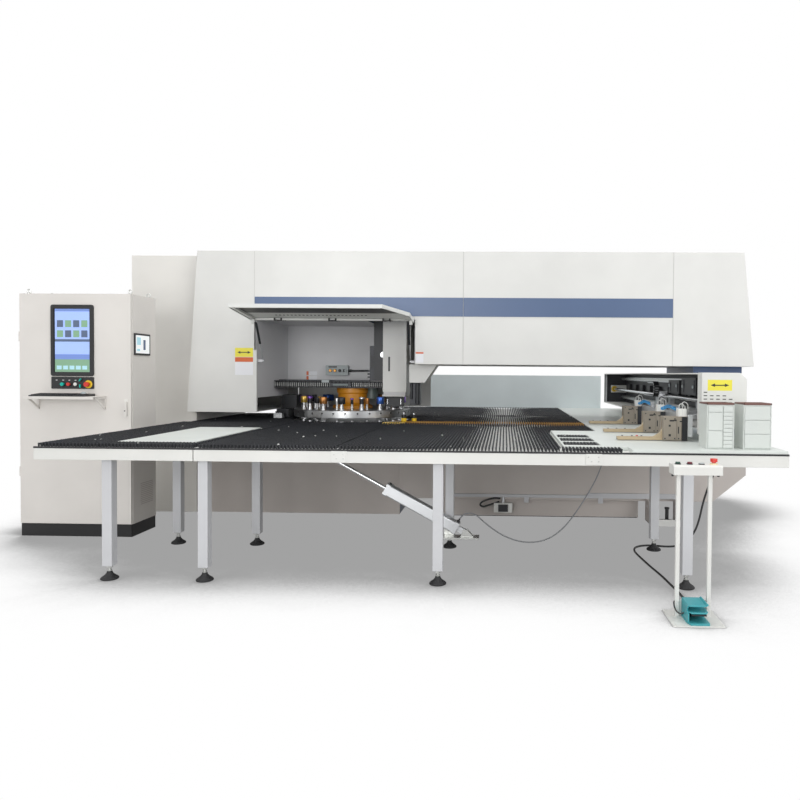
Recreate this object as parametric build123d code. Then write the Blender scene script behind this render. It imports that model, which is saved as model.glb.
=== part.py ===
from build123d import *
import math
import os

os.makedirs("parts", exist_ok=True)

# A closed-frame turret punch press. Millimetres, +Z up, floor at Z = 0.
# The origin is the punch axis where it meets the floor. X runs along the frame,
# and the sheet travels along Y, through the throat of the frame.

# Levels
TABLE_Z = 880.0            # top of the table plates
BRUSH_HEIGHT = 28.0        # bristle tips above the table plates
PASS_Z = TABLE_Z + BRUSH_HEIGHT   # the level at which the sheet slides

# Tables in plan
TABLE_LEFT_X = -1962.0
TABLE_RIGHT_X = 2908.0
TABLE_FRONT_Y = -2810.0
FRONT_TABLE_DEPTH = 2077.0
THROAT_TABLE_LEFT_X = -1900.0
REAR_TABLE_Y = 2622.0
LEFT_TABLE_WIDTH = 1048.0
TABLE_SEAM = 6.0
RIGHT_TABLE_WIDTH = 1233.0
SKIRT_HEIGHT = 80.0
SKIRT_WALL = 8.0
TABLE_PLATE = 6.0
RIB_SPACING = 640.0

# Brush fields
BRUSH_PITCH = 46.0
BRUSH_STRIP = 30.0
BRUSH_BASE = 4.0
BRUSH_MARGIN = 12.0
BRUSH_RIGHT_X = 1870.0

# Light steel plates let into the brush fields
INSET_WIDTH = 520.0
INSET_DEPTH = 1255.0
INSET_RIGHT_X = -990.0
INSET_REAR_Y = -1370.0
PLAIN_LEVEL = 25.0         # top of the plain plates above the table plates
SLOT_PLATE_LEFT_X = 1496.0
SLOT_PLATE_FRONT_Y = -2645.0
SLOT_PLATE_REAR_Y = -1378.0
SLOT_WIDTH = 245.0
SLOT_LENGTH = 218.0
SLOT_PITCH = 280.0
SLOT_COUNT = 3

# Table legs
LEG_TUBE = 66.0
LEG_INSET = 79.0
LEG_ROW_PITCH = 955.0
LEG_BOTTOM_Z = 92.0
LEG_X = (-1507.0, -869.0, 675.0, 2290.0)
REAR_LEG_X = (-869.0, 675.0, 2290.0)
REAR_LEG_INSET = 120.0
FOOT_RADIUS = 56.0
FOOT_STUD_RADIUS = 10.0

# Drop flap of the front table, moved by the cylinder under it
FLAP_LEFT_X = -384.0
FLAP_RIGHT_X = 14.0
FLAP_GAP = 6.0
FLAP_HINGE_RADIUS = 9.0
FLAP_HINGE_DROP = 14.0     # hinge axis below the table plate's top
FLAP_THICKNESS = 36.0
CYLINDER_Y = -1870.0
CYLINDER_TAIL = (803.0, 142.0)
CYLINDER_HEAD = (-290.0, 734.0)
CYLINDER_SIZE = 96.0
CYLINDER_LENGTH = 640.0
CYLINDER_ROD_RADIUS = 15.0
CYLINDER_START = 70.0      # from the tail pivot to the rear cap
CYLINDER_BORE_FLOOR = 60.0    # from the rear cap to the bottom of the bore
CYLINDER_STROKE = 130.0

# Frame weldment
FRAME_LEFT_X = -2500.0
FRAME_RIGHT_X = 3385.0
FRAME_RIGHT_TOP_X = 3285.0
FRAME_HALF_DEPTH = 540.0
FRAME_BOTTOM_Z = 200.0
FRAME_TOP_Z = 2480.0
THROAT_LEFT_X = -1925.0
THROAT_RIGHT_X = 2920.0
THROAT_BOTTOM_Z = 770.0
THROAT_TOP_Z = 1500.0
BAY_TOP_Z = 1945.0
BAY_RIGHT_X = 265.0
FRAME_FOOT_Z = 200.0
CORNER_CHAMFER = 245.0
COVER_RAIL_X = (-1600.0, -300.0, 1700.0, 3000.0)   # strips that carry the covers

# Sheet-metal covers
COVER_FRONT_Y = -710.0
COVER_REAR_Y = 690.0
COVER_TOP_Z = 2535.0
COVER_BOTTOM_Z = 1468.0
COVER_WALL = 6.0
COVER_GAP = 4.0
LEFT_COVER_BOTTOM_Z = 995.0
LEFT_COVER_TOP_X = -1840.0
LEFT_COVER_FOOT_X = -1940.0
BAY_LEFT_X = -1286.0
WINDOW_RIGHT_X = 251.0
WINDOW_TOP_Z = 1890.0
CENTRE_SEAM_X = 703.0
RIGHT_SEAM_X = 2676.0
RIGHT_COVER_TOP_X = 3334.0
RIGHT_COVER_FOOT_X = 3438.0
ENCLOSURE_LEFT_X = -2556.0
ENCLOSURE_FRONT_Y = -560.0
ENCLOSURE_TOP_Z = 2513.0
BAND_BOTTOM_Z = 1921.0
BAND_TOP_Z = 2099.0
BAND_PROUD = 3.0

# Turrets
TURRET_PITCH = 500.0       # radius of the outer station circle
TURRET_RADIUS = 600.0
UPPER_TURRET_Z = 934.0
UPPER_TURRET_THICKNESS = 78.0
LOWER_TURRET_Z = 800.0
LOWER_TURRET_TOP_Z = 884.0
DIE_HEIGHT = 18.0
STATIONS = 16              # on each of the two circles
INNER_PITCH = 385.0
TOOL_HEIGHT = 128.0
HUB_RADIUS = 165.0
HUB_HEIGHT = 210.0
SHAFT_RADIUS = 60.0
RUNNING_FIT = 0.05
REST_GAP = 0.3

# Ram
RAM_RADIUS = 70.0
RAM_BOTTOM_Z = 1180.0
HEAD_HALF_WIDTH = 118.0
HEAD_FRONT_Y = -365.0
HEAD_REAR_Y = 200.0

# Gull-wing guard over the turret bay, shown open
GUARD_AXIS_Y = -745.0
GUARD_AXIS_Z = 1878.0
GUARD_REACH = 620.0
GUARD_RISE_DEG = 7.5       # how far the open panel slopes up to its lip
GUARD_LEFT_X = -1276.0
GUARD_RIGHT_X = 245.0
GUARD_LIP_RIGHT_X = 52.0
GUARD_WALL = 5.0
GUARD_FLANGE = 26.0
GUARD_HINGE_X = (-1020.0, -508.0, -2.0)
GUARD_HINGE_WIDTH = 60.0
GUARD_PIN_RADIUS = 4.0
STRUT_X = (-1225.0, 200.0)
STRUT_FOOT = (-650.0, 1490.0)     # Y and Z of the lower pivot
STRUT_REACH = 90.0         # from the guard's hinge to the strut's upper pivot
STRUT_DROP = 50.0
STRUT_BARREL_RADIUS = 11.0
STRUT_ROD_RADIUS = 5.0
STRUT_BARREL_LENGTH = 215.0

# Carriage beam and clamps
BEAM_LEFT_X = 2489.0
BEAM_RIGHT_X = 2798.0
BEAM_FRONT_Y = -2250.0
BEAM_REAR_Y = 2340.0
BEAM_BOTTOM_Z = 1000.0
BEAM_TOP_Z = 1400.0
BEAM_WALL = 10.0
SADDLE_THICKNESS = 24.0
SADDLE_Y = 711.0
CLAMP_Y = (-531.0, -1481.0, -2159.0)
CLAMP_LEFT_X = 2250.0
CLAMP_RIGHT_X = 2425.0
CLAMP_HALF_WIDTH = 48.0
CLAMP_TOP_Z = 1083.0
JAW_TIP_X = 1925.0
JAW_THICKNESS = 12.0
SCREW_X = 2620.0
SCREW_Z = 1190.0
SCREW_RADIUS = 18.0
NUT_HALF = 42.0
COIL_BLOCK_OFFSET = (410.0, 380.0)   # from a clamp to its hose block on the carriage

# Control cabinet
CABINET_LEFT_X = -2918.0
CABINET_WIDTH = 938.0
CABINET_FRONT_Y = -1615.0
CABINET_DEPTH = 394.0
CABINET_HEIGHT = 2018.0
PLINTH_HEIGHT = 106.0
DOOR_THICKNESS = 24.0
HINGE_RADIUS = 6.5
CABINET_WALL = 15.0
BUTTON_X = {"start": -2544.0, "stop": -2493.0, "reset": -2441.0, "estop": -2333.0}
BUTTON_Z = 1268.0
HANDLE = (-2020.0, 1112.0)

# Push-button stand with its foot pedal
STAND_PLATE = (2038.0, 2325.0, -3426.0, -3160.0)
STAND_POST_X = (2095.0, 2275.0)
STAND_POST = 22.0
STAND_POST_Y = -3262.0
STAND_BOX = (2056.0, 2330.0, -3318.0, -3206.0)
STAND_BOX_Z = (820.0, 876.0)
STAND_PLATE_THICKNESS = 6.0
STAND_BOLT_PITCH = (255.0, 234.0)
STAND_BOLT_RADIUS = 4.5
STAND_BUTTON_X = (2090.0, 2157.0, 2224.0, 2293.0)
STAND_BUTTON_Y = -3268.0
PEDAL_X = (2118.0, 2252.0)
PEDAL_Y = (-3418.0, -3254.0)

# Free hose and cable
AIR_HOSE_RADIUS = 5.0
CABLE_RADIUS = 8.0

# Worked out from the sizes above
FRONT_TABLE_REAR_Y = TABLE_FRONT_Y + FRONT_TABLE_DEPTH
SEAM_X = TABLE_LEFT_X + LEFT_TABLE_WIDTH
CENTRE_LEFT_X = SEAM_X + TABLE_SEAM
JOINT_X = TABLE_RIGHT_X - RIGHT_TABLE_WIDTH
TABLE_UNDER_Z = TABLE_Z - SKIRT_HEIGHT
TURRET_X = -TURRET_PITCH
UPPER_TURRET_TOP_Z = UPPER_TURRET_Z + UPPER_TURRET_THICKNESS
HUB_TOP_Z = UPPER_TURRET_TOP_Z + HUB_HEIGHT
ARM_BOTTOM_Z = HUB_TOP_Z + 3.0
ARM_TOP_Z = ARM_BOTTOM_Z + 72.0
SLOT_FRONT_Y = FRONT_TABLE_REAR_Y
SLOT_REAR_Y = -690.0
FLAP_AXIS = (FLAP_RIGHT_X + FLAP_GAP, TABLE_Z - FLAP_HINGE_DROP)
CABINET_RIGHT_X = CABINET_LEFT_X + CABINET_WIDTH
CABINET_REAR_Y = CABINET_FRONT_Y + CABINET_DEPTH
CABLE_Z = CABLE_RADIUS + 1.0

# Routes of the hoses and cables that lie or hang free
AIR_HOSE_ROUTE = [
    (749.5, -1870, 225.8), (768.6, -1870, 261), (800, -1869, 287), (845, -1867, 295),
    (893, -1865, 276), (940, -1862, 232), (1000, -1858, 182), (1075, -1854, 130),
    (1160, -1850, 90), (1252, -1848, 66), (1346, -1846, 64), (1438, -1846, 86),
    (1520, -1846, 134), (1592, -1848, 204), (1656, -1850, 290), (1716, -1852, 382),
    (1774, -1854, 480), (1826, -1856, 582), (1866, -1858, 690), (1888, -1860, 788),
    (1892, -1860, 846), (1892, -1860, TABLE_Z - TABLE_PLATE),
]
CABLE_ROUTE = [
    (2806, -1762, TABLE_UNDER_Z), (2806, -1762, 764), (2797, -1764, 716),
    (2774, -1767, 648), (2738, -1768, 568), (2702, -1766, 472), (2672, -1764, 366),
    (2650, -1762, 250), (2618, -1760, 150), (2562, -1756, 74), (2486, -1740, 24),
    (2400, -1700, CABLE_Z), (2312, -1664, CABLE_Z), (2226, -1670, CABLE_Z),
    (2160, -1722, CABLE_Z), (2128, -1804, CABLE_Z), (2124, -1906, CABLE_Z),
    (2134, -2026, CABLE_Z), (2146, -2156, CABLE_Z), (2160, -2290, CABLE_Z),
    (2178, -2424, CABLE_Z), (2192, -2556, CABLE_Z), (2200, -2684, CABLE_Z),
    (2210, -2804, CABLE_Z), (2214, -2916, CABLE_Z), (2208, -3018, 18), (2194, -3104, 48),
    (2180, -3172, 76), (2178, -3212, 82), (2178, STAND_POST_Y + 15, 82),
]


def block(x0, x1, y0, y1, z0, z1):
    """A box between two corners."""
    centre = ((x0 + x1) / 2, (y0 + y1) / 2, (z0 + z1) / 2)
    return Pos(*centre) * Box(abs(x1 - x0), abs(y1 - y0), abs(z1 - z0))


def rod(start, end, radius):
    """A round bar from one point to another."""
    line = Vector(*end) - Vector(*start)
    plane = Plane(origin=start, z_dir=line.normalized())
    return Solid.make_cylinder(radius, line.length, plane)


def across(points, y0, y1):
    """A prism along Y over an outline given as X and Z."""
    outline = Polyline(*[(x, y0, z) for x, z in points], close=True)
    return extrude(make_face(outline), amount=y1 - y0, dir=(0, 1, 0))


def along(points, x0, x1):
    """A prism along X over an outline given as Y and Z."""
    outline = Polyline(*[(x0, y, z) for y, z in points], close=True)
    return extrude(make_face(outline), amount=x1 - x0, dir=(1, 0, 0))


def upright(points, z0, z1):
    """A prism along Z over an outline given as X and Y."""
    outline = Polyline(*[(x, y, z0) for x, y in points], close=True)
    return extrude(make_face(outline), amount=z1 - z0, dir=(0, 0, 1))


def turned(points, x, y):
    """A solid of revolution about the vertical line at X, Y, from radii and heights."""
    outline = Polyline(*[(r, 0, z) for r, z in points], close=True)
    return Pos(x, y, 0) * revolve(make_face(outline), axis=Axis.Z)


def save(shape, node):
    """Write one node as a compound of its separate solids."""
    solids = shape.solids() if hasattr(shape, "solids") else ShapeList(shape)
    result = solids[0] if len(solids) == 1 else Compound(children=list(solids))
    result.label = node
    export_step(result, f"parts/{node}.step")


def group(shapes):
    """Separate solids kept side by side, without joining them."""
    solids = []
    for shape in shapes:
        solids.extend(shape.solids())
    return Compound(children=solids)


# Frame and covers

def frame_outline():
    """Outer edge of the frame weldment, with its chamfered lower right corner."""
    return [
        (FRAME_LEFT_X, FRAME_BOTTOM_Z),
        (FRAME_RIGHT_X - CORNER_CHAMFER - 50, FRAME_BOTTOM_Z),
        (FRAME_RIGHT_X, FRAME_BOTTOM_Z + CORNER_CHAMFER),
        (FRAME_RIGHT_X, THROAT_TOP_Z),
        (FRAME_RIGHT_TOP_X, FRAME_TOP_Z),
        (FRAME_LEFT_X, FRAME_TOP_Z),
    ]


def o_frame():
    """The closed frame: two columns, the beams, the feet and the turret support."""
    throat = [
        (THROAT_LEFT_X, THROAT_BOTTOM_Z),
        (THROAT_RIGHT_X, THROAT_BOTTOM_Z),
        (THROAT_RIGHT_X, THROAT_TOP_Z),
        (BAY_RIGHT_X, THROAT_TOP_Z),
        (BAY_RIGHT_X, BAY_TOP_Z),
        (THROAT_LEFT_X, BAY_TOP_Z),
    ]
    depth = FRAME_HALF_DEPTH
    frame = across(frame_outline(), -depth, depth) - across(throat, -depth, depth)
    foot_depth = depth - 20
    frame += block(FRAME_LEFT_X + 20, 85, -foot_depth, foot_depth, 0, FRAME_FOOT_Z)
    frame += block(450, 2400, -foot_depth, foot_depth, 0, FRAME_FOOT_Z)
    frame += block(-900, -100, 300, depth, ARM_BOTTOM_Z, BAY_TOP_Z)
    for x in COVER_RAIL_X:
        frame += block(x - 30, x + 30, -depth, depth, FRAME_TOP_Z, COVER_TOP_Z - COVER_WALL)
    frame += block(-2330, -2270, -depth, depth, FRAME_TOP_Z, ENCLOSURE_TOP_Z - COVER_WALL)
    for side in (-1, 1):
        rail = side * (SADDLE_Y - SADDLE_THICKNESS / 2 - 9)
        frame += block(1150, THROAT_RIGHT_X - 15, side * depth, rail, 610, 690)
    return frame


def sleeve(outline, cavity, y0, y1):
    """A folded cover: an outline along Y with its hollow, open at both ends."""
    return across(outline, y0, y1) - across(cavity, y0 + COVER_WALL, y1 - COVER_WALL)


def left_enclosure():
    """Tall housing round the left column, down to the floor."""
    wall = COVER_WALL
    right = THROAT_LEFT_X + 10
    y0, y1 = ENCLOSURE_FRONT_Y, COVER_REAR_Y + 10
    shell = block(ENCLOSURE_LEFT_X, right, y0, y1, 0, ENCLOSURE_TOP_Z)
    shell -= block(ENCLOSURE_LEFT_X + wall, right - wall, y0 + wall, y1 - wall,
                   -1, ENCLOSURE_TOP_Z - wall)
    depth = FRAME_HALF_DEPTH + 4
    shell -= block(right - 2 * wall, right + 1, -depth, depth, BAY_TOP_Z - 4, FRAME_TOP_Z + 4)
    shell -= block(right - 2 * wall, right + 1, -depth, depth, -1, THROAT_BOTTOM_Z + 4)
    trunk_x = CABINET_LEFT_X + CABINET_WIDTH / 2
    shell += block(trunk_x - 60, trunk_x + 60, CABINET_REAR_Y - 4, y0, 0, 70)
    return shell


def lower_covers():
    """Panels on the front and rear faces of the lower beam, with the foot panels."""
    face = FRAME_HALF_DEPTH
    left_end = THROAT_LEFT_X + 14
    panels = []
    right_outline = [
        (96, 180), (3090, 180), (3400, 437), (3400, 600), (96, 600),
    ]
    for side in (-1, 1):
        panels.append(block(left_end, 90, side * face, side * (face + 20), 4, 765))
        outer = side * (face + 110)
        y0, y1 = sorted((side * face, outer))
        panels.append(across(right_outline, y0, y1))
        panels.append(block(450, 2400, side * (face - 20), side * (face + 40), 4, 176))
    return group(panels)


def left_cover():
    """Overhanging cover left of the turret bay, with its slanted left edge."""
    right = BAY_LEFT_X - COVER_GAP
    front_rear = ENCLOSURE_FRONT_Y - 4
    slant = [
        (LEFT_COVER_TOP_X, COVER_TOP_Z), (right, COVER_TOP_Z),
        (right, LEFT_COVER_BOTTOM_Z), (LEFT_COVER_FOOT_X, LEFT_COVER_BOTTOM_Z),
    ]
    inner_left = THROAT_LEFT_X + 15
    wall = COVER_WALL
    cover = across(slant, COVER_FRONT_Y, front_rear)
    cover += block(inner_left, right, front_rear, COVER_REAR_Y, LEFT_COVER_BOTTOM_Z, COVER_TOP_Z)
    cover -= block(inner_left + wall, right + 1, COVER_FRONT_Y + wall, COVER_REAR_Y - wall,
                   LEFT_COVER_BOTTOM_Z + wall, COVER_TOP_Z - wall)
    depth = FRAME_HALF_DEPTH + 4
    cover -= block(inner_left - 1, inner_left + 2 * wall, -depth, depth,
                   BAY_TOP_Z - 4, FRAME_TOP_Z + 4)
    return cover


def bay_cover():
    """Cover over the turret bay, with the window's upper edge and the rear panel."""
    left, right = BAY_LEFT_X, CENTRE_SEAM_X
    wall = COVER_WALL
    step = WINDOW_RIGHT_X
    outline = [
        (left, COVER_TOP_Z), (right, COVER_TOP_Z), (right, COVER_BOTTOM_Z),
        (step, COVER_BOTTOM_Z), (step, WINDOW_TOP_Z), (left, WINDOW_TOP_Z),
    ]
    cavity = [
        (left - 1, COVER_TOP_Z - wall), (right + 1, COVER_TOP_Z - wall),
        (right + 1, COVER_BOTTOM_Z + wall), (step + wall, COVER_BOTTOM_Z + wall),
        (step + wall, WINDOW_TOP_Z + wall), (left - 1, WINDOW_TOP_Z + wall),
    ]
    cover = sleeve(outline, cavity, COVER_FRONT_Y, COVER_REAR_Y)
    cover -= block(left - 1, step - 4, COVER_FRONT_Y + 80, COVER_REAR_Y - 80,
                   WINDOW_TOP_Z - 1, WINDOW_TOP_Z + 2 * wall)
    cover += block(left, step, COVER_REAR_Y - wall, COVER_REAR_Y, 1000, WINDOW_TOP_Z + 1)
    hanger = [(172, COVER_BOTTOM_Z), (443, COVER_BOTTOM_Z), (322, 1290), (172, 1290)]
    cover += across(hanger, -540, -300)
    cover += block(172, 268, -480, -370, 1072, 1290)
    half = GUARD_HINGE_WIDTH / 2
    y, z = GUARD_AXIS_Y, GUARD_AXIS_Z
    for x in GUARD_HINGE_X:
        cover += block(x - half - 6, x + half + 6, y + 9, COVER_FRONT_Y,
                       WINDOW_TOP_Z + 1, WINDOW_TOP_Z + 20)
        for a, b in ((x - half - 6, x - half - REST_GAP), (x + half + REST_GAP, x + half + 6)):
            cover += block(a, b, y - 8, COVER_FRONT_Y, z - 8, WINDOW_TOP_Z + 20)
        cover += rod((x - half - 6, y, z), (x + half + 6, y, z), GUARD_PIN_RADIUS)
    return cover


def centre_cover():
    """Plain cover over the middle of the upper beam."""
    left, right = CENTRE_SEAM_X + COVER_GAP, RIGHT_SEAM_X
    wall = COVER_WALL
    outline = [(left, COVER_TOP_Z), (right, COVER_TOP_Z),
               (right, COVER_BOTTOM_Z), (left, COVER_BOTTOM_Z)]
    cavity = [(left - 1, COVER_TOP_Z - wall), (right + 1, COVER_TOP_Z - wall),
              (right + 1, COVER_BOTTOM_Z + wall), (left - 1, COVER_BOTTOM_Z + wall)]
    return sleeve(outline, cavity, COVER_FRONT_Y, COVER_REAR_Y)


def right_cover():
    """End cover with its flared right side, open underneath for the column."""
    left = RIGHT_SEAM_X + COVER_GAP
    wall = COVER_WALL
    outline = [(left, COVER_TOP_Z), (RIGHT_COVER_TOP_X, COVER_TOP_Z),
               (RIGHT_COVER_FOOT_X, COVER_BOTTOM_Z), (left, COVER_BOTTOM_Z)]
    cavity = [(left - 1, COVER_TOP_Z - wall), (RIGHT_COVER_TOP_X - wall, COVER_TOP_Z - wall),
              (RIGHT_COVER_FOOT_X - wall, COVER_BOTTOM_Z + wall), (left - 1, COVER_BOTTOM_Z + wall)]
    cover = sleeve(outline, cavity, COVER_FRONT_Y, COVER_REAR_Y)
    depth = FRAME_HALF_DEPTH + 4
    cover -= block(THROAT_RIGHT_X - 5, FRAME_RIGHT_X + 5, -depth, depth,
                   COVER_BOTTOM_Z - 1, COVER_BOTTOM_Z + 2 * wall)
    return cover


def blue_band():
    """Painted strip fixed along the front of the covers, up to the last seam."""
    y0 = COVER_FRONT_Y - BAND_PROUD
    pieces = [
        block(BAY_LEFT_X, CENTRE_SEAM_X, y0, COVER_FRONT_Y, BAND_BOTTOM_Z, BAND_TOP_Z),
        block(CENTRE_SEAM_X + COVER_GAP, RIGHT_SEAM_X, y0, COVER_FRONT_Y,
              BAND_BOTTOM_Z, BAND_TOP_Z),
    ]
    return group(pieces)


# Turret bay

def bay_liner():
    """Grey lining of the bay: left wall, rear wall, ceiling strips and strut lugs."""
    sheet = 4.0
    left = BAY_LEFT_X + 6
    front, rear = COVER_FRONT_Y + 10, 260.0
    top = WINDOW_TOP_Z
    liner = block(left, left + sheet, front, rear + sheet, 1135, top)
    liner += block(left, -245, rear, rear + sheet, ARM_TOP_Z + REST_GAP, top)
    liner += block(left, -245, front, rear + sheet, top - sheet, top)
    liner += block(-245, WINDOW_RIGHT_X - 2, front, front + 60, top - sheet, top)
    liner += block(WINDOW_RIGHT_X - 6, WINDOW_RIGHT_X - 2, front, front + 200,
                   COVER_BOTTOM_Z + 6, top)
    y, z = STRUT_FOOT
    for x, wall_x in zip(STRUT_X, (left, WINDOW_RIGHT_X - 4)):
        inward = 1 if wall_x < x else -1
        lug_end = x - inward * 7
        liner += block(min(wall_x, lug_end), max(wall_x, lug_end), y - 12, y + 12, z - 12, z + 12)
        liner += rod((lug_end, y, z), (x + inward * 8, y, z), 5.0)
    return liner


def button_box():
    """Small control box on the bay's rear wall, with its conduit to the head."""
    y1 = 260.0
    box = block(-845, -600, y1 - 62, y1, 1352, 1462)
    box = fillet(box.edges().filter_by(Axis.Y), 10)
    for x in (-655, -625):
        box += rod((x, y1 - 62, 1404), (x, y1 - 80, 1404), 11)
    for x in (-790, -740):
        box += rod((x, y1 - 62, 1404), (x, y1 - 74, 1404), 13)
    box += rod((-600, y1 - 30, 1404), (-240, y1 - 30, 1404), 9)
    return box


def ram_housing():
    """Punch head: the square ram case with its bore and the dark guide column."""
    half = HEAD_HALF_WIDTH
    case = block(-half, half, HEAD_FRONT_Y, HEAD_REAR_Y, RAM_BOTTOM_Z + 10, BAY_TOP_Z)
    case += block(-half + 18, half - 18, HEAD_FRONT_Y + 20, HEAD_REAR_Y - 20,
                  RAM_BOTTOM_Z, RAM_BOTTOM_Z + 10)
    case -= rod((0, 0, RAM_BOTTOM_Z - 1), (0, 0, RAM_BOTTOM_Z + 240), RAM_RADIUS + RUNNING_FIT)
    case -= block(-62, -48, HEAD_FRONT_Y - 1, HEAD_FRONT_Y + 12, 1402, 1542)
    case += block(-240, -half, -200, 255, ARM_TOP_Z + REST_GAP, BAY_TOP_Z)
    case += block(-292, -240, -150, 200, ARM_TOP_Z + REST_GAP, 1660)
    return case


def ram():
    """The round ram that comes down on the punch under it."""
    nose = [
        (0, RAM_BOTTOM_Z), (RAM_RADIUS - 8, RAM_BOTTOM_Z), (RAM_RADIUS, RAM_BOTTOM_Z + 8),
        (RAM_RADIUS, RAM_BOTTOM_Z + 190), (0, RAM_BOTTOM_Z + 190),
    ]
    return turned(nose, 0, 0)


def station_places():
    """Centre, head radius and height of each tool on both station circles."""
    places = []
    for i in range(STATIONS):
        angle = 2 * math.pi * i / STATIONS
        large = i % (STATIONS // 2) == 0 or i == 3 * STATIONS // 8
        radius = 70.0 if large else 38.0
        places.append((TURRET_X + TURRET_PITCH * math.cos(angle),
                       TURRET_PITCH * math.sin(angle), radius, TOOL_HEIGHT))
        angle += math.pi / STATIONS
        places.append((TURRET_X + INNER_PITCH * math.cos(angle),
                       INNER_PITCH * math.sin(angle), 24.0, TOOL_HEIGHT - 14))
    return places


def upper_turret():
    """Upper turret disc with the row of locating holes round its rim."""
    disc = turned([
        (SHAFT_RADIUS + RUNNING_FIT, UPPER_TURRET_Z), (TURRET_RADIUS - 6, UPPER_TURRET_Z),
        (TURRET_RADIUS, UPPER_TURRET_Z + 6), (TURRET_RADIUS, UPPER_TURRET_TOP_Z - 6),
        (TURRET_RADIUS - 6, UPPER_TURRET_TOP_Z), (SHAFT_RADIUS + RUNNING_FIT, UPPER_TURRET_TOP_Z),
    ], TURRET_X, 0)
    middle = (UPPER_TURRET_Z + UPPER_TURRET_TOP_Z) / 2
    holes = []
    for i in range(2 * STATIONS):
        angle = math.pi * (i + 0.5) / STATIONS
        ux, uy = math.cos(angle), math.sin(angle)
        inner, outer = TURRET_RADIUS - 14, TURRET_RADIUS + 2
        holes.append(rod((TURRET_X + inner * ux, inner * uy, middle),
                         (TURRET_X + outer * ux, outer * uy, middle), 9))
    return disc - holes


def turret_tools():
    """Punch assemblies standing on the upper turret, one for each station."""
    tools = []
    for x, y, radius, height in station_places():
        z0, z1 = UPPER_TURRET_TOP_Z, UPPER_TURRET_TOP_Z + height
        neck = z0 + 0.42 * height
        tools.append(turned([
            (0, z0), (0.62 * radius, z0), (0.62 * radius, neck),
            (radius, neck + 4), (radius, z1), (0, z1),
        ], x, y))
    return group(tools)


def turret_hub():
    """Bell-shaped hub on the upper turret, with its shaft up into the support arm."""
    z0 = UPPER_TURRET_TOP_Z
    return turned([
        (0, UPPER_TURRET_Z + 10), (SHAFT_RADIUS, UPPER_TURRET_Z + 10), (SHAFT_RADIUS, z0),
        (HUB_RADIUS + 40, z0), (HUB_RADIUS + 40, z0 + 24), (HUB_RADIUS - 12, z0 + 60),
        (HUB_RADIUS - 12, HUB_TOP_Z - 60), (HUB_RADIUS, HUB_TOP_Z - 46), (HUB_RADIUS, HUB_TOP_Z),
        (SHAFT_RADIUS, HUB_TOP_Z), (SHAFT_RADIUS, ARM_TOP_Z - 8), (0, ARM_TOP_Z - 8),
    ], TURRET_X, 0)


def lower_turret():
    """Lower turret disc with a die ring at each station and its bearing hub."""
    disc = turned([
        (0, THROAT_BOTTOM_Z), (120, THROAT_BOTTOM_Z), (120, LOWER_TURRET_Z),
        (TURRET_RADIUS, LOWER_TURRET_Z), (TURRET_RADIUS, LOWER_TURRET_TOP_Z),
        (0, LOWER_TURRET_TOP_Z),
    ], TURRET_X, 0)
    for x, y, radius, _ in station_places():
        z1 = LOWER_TURRET_TOP_Z + DIE_HEIGHT
        disc += rod((x, y, LOWER_TURRET_TOP_Z), (x, y, z1), radius * 0.9)
    return disc


def chain_drive():
    """Support arm of the upper turret, with the drive chain open at its front."""
    left, right = BAY_LEFT_X + 12, -150.0
    core_y = -150.0
    arm = block(left, right, core_y, 300, ARM_BOTTOM_Z, ARM_TOP_Z)
    arm += block(left, right, core_y - 50, core_y, ARM_BOTTOM_Z, ARM_BOTTOM_Z + 7)
    arm += block(left, right, core_y - 50, core_y, ARM_TOP_Z - 7, ARM_TOP_Z)
    links = int((right - left) // 40)
    for i in range(links):
        x = left + 20 + i * 40
        arm += block(x - 8, x + 8, core_y - 26, core_y, ARM_BOTTOM_Z + 7, ARM_TOP_Z - 7)
    arm -= rod((TURRET_X, 0, ARM_BOTTOM_Z - 1), (TURRET_X, 0, ARM_TOP_Z - 7),
               SHAFT_RADIUS + RUNNING_FIT)
    return arm


# Gull-wing guard

def guard_turn(shape):
    """Swing a guard piece, modelled level, up to the open angle."""
    placed = Rot(-GUARD_RISE_DEG, 0, 0) * shape
    return Pos(0, GUARD_AXIS_Y, GUARD_AXIS_Z) * placed


def gull_cover():
    """Open guard: a tray with a folded lip, modelled level about its hinge line."""
    reach = GUARD_REACH
    plan = [
        (GUARD_LEFT_X, -14), (GUARD_RIGHT_X, -14), (GUARD_RIGHT_X, -300),
        (GUARD_LIP_RIGHT_X, -reach), (GUARD_LEFT_X, -reach),
    ]
    inset = GUARD_WALL
    inner = [
        (GUARD_LEFT_X + inset, -12), (GUARD_RIGHT_X - inset, -12),
        (GUARD_RIGHT_X - inset, -302), (GUARD_LIP_RIGHT_X - inset, -reach + inset),
        (GUARD_LEFT_X + inset, -reach + inset),
    ]
    tray = upright(plan, -GUARD_FLANGE, 8) - upright(inner, -GUARD_FLANGE - 1, 8 - GUARD_WALL)
    tray += block(GUARD_LEFT_X + inset, GUARD_RIGHT_X - inset, -34, -18, -6, 4)
    half = GUARD_HINGE_WIDTH / 2
    for x in GUARD_HINGE_X:
        tray += block(x - half, x + half, -24, 0, -4, 4)
        tray += rod((x - half, 0, 0), (x + half, 0, 0), 8)
        tray -= rod((x - half - 1, 0, 0), (x + half + 1, 0, 0), GUARD_PIN_RADIUS + RUNNING_FIT)
    for x in STRUT_X:
        outward = -1 if x < 0 else 1
        lug = x + outward * 13
        wall_x = GUARD_LEFT_X + inset if x < 0 else GUARD_RIGHT_X - inset
        tray += block(min(lug, wall_x), max(lug, wall_x), -STRUT_REACH - 12, -STRUT_REACH + 12,
                      -STRUT_DROP - 10, 4)
    return guard_turn(tray)


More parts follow.
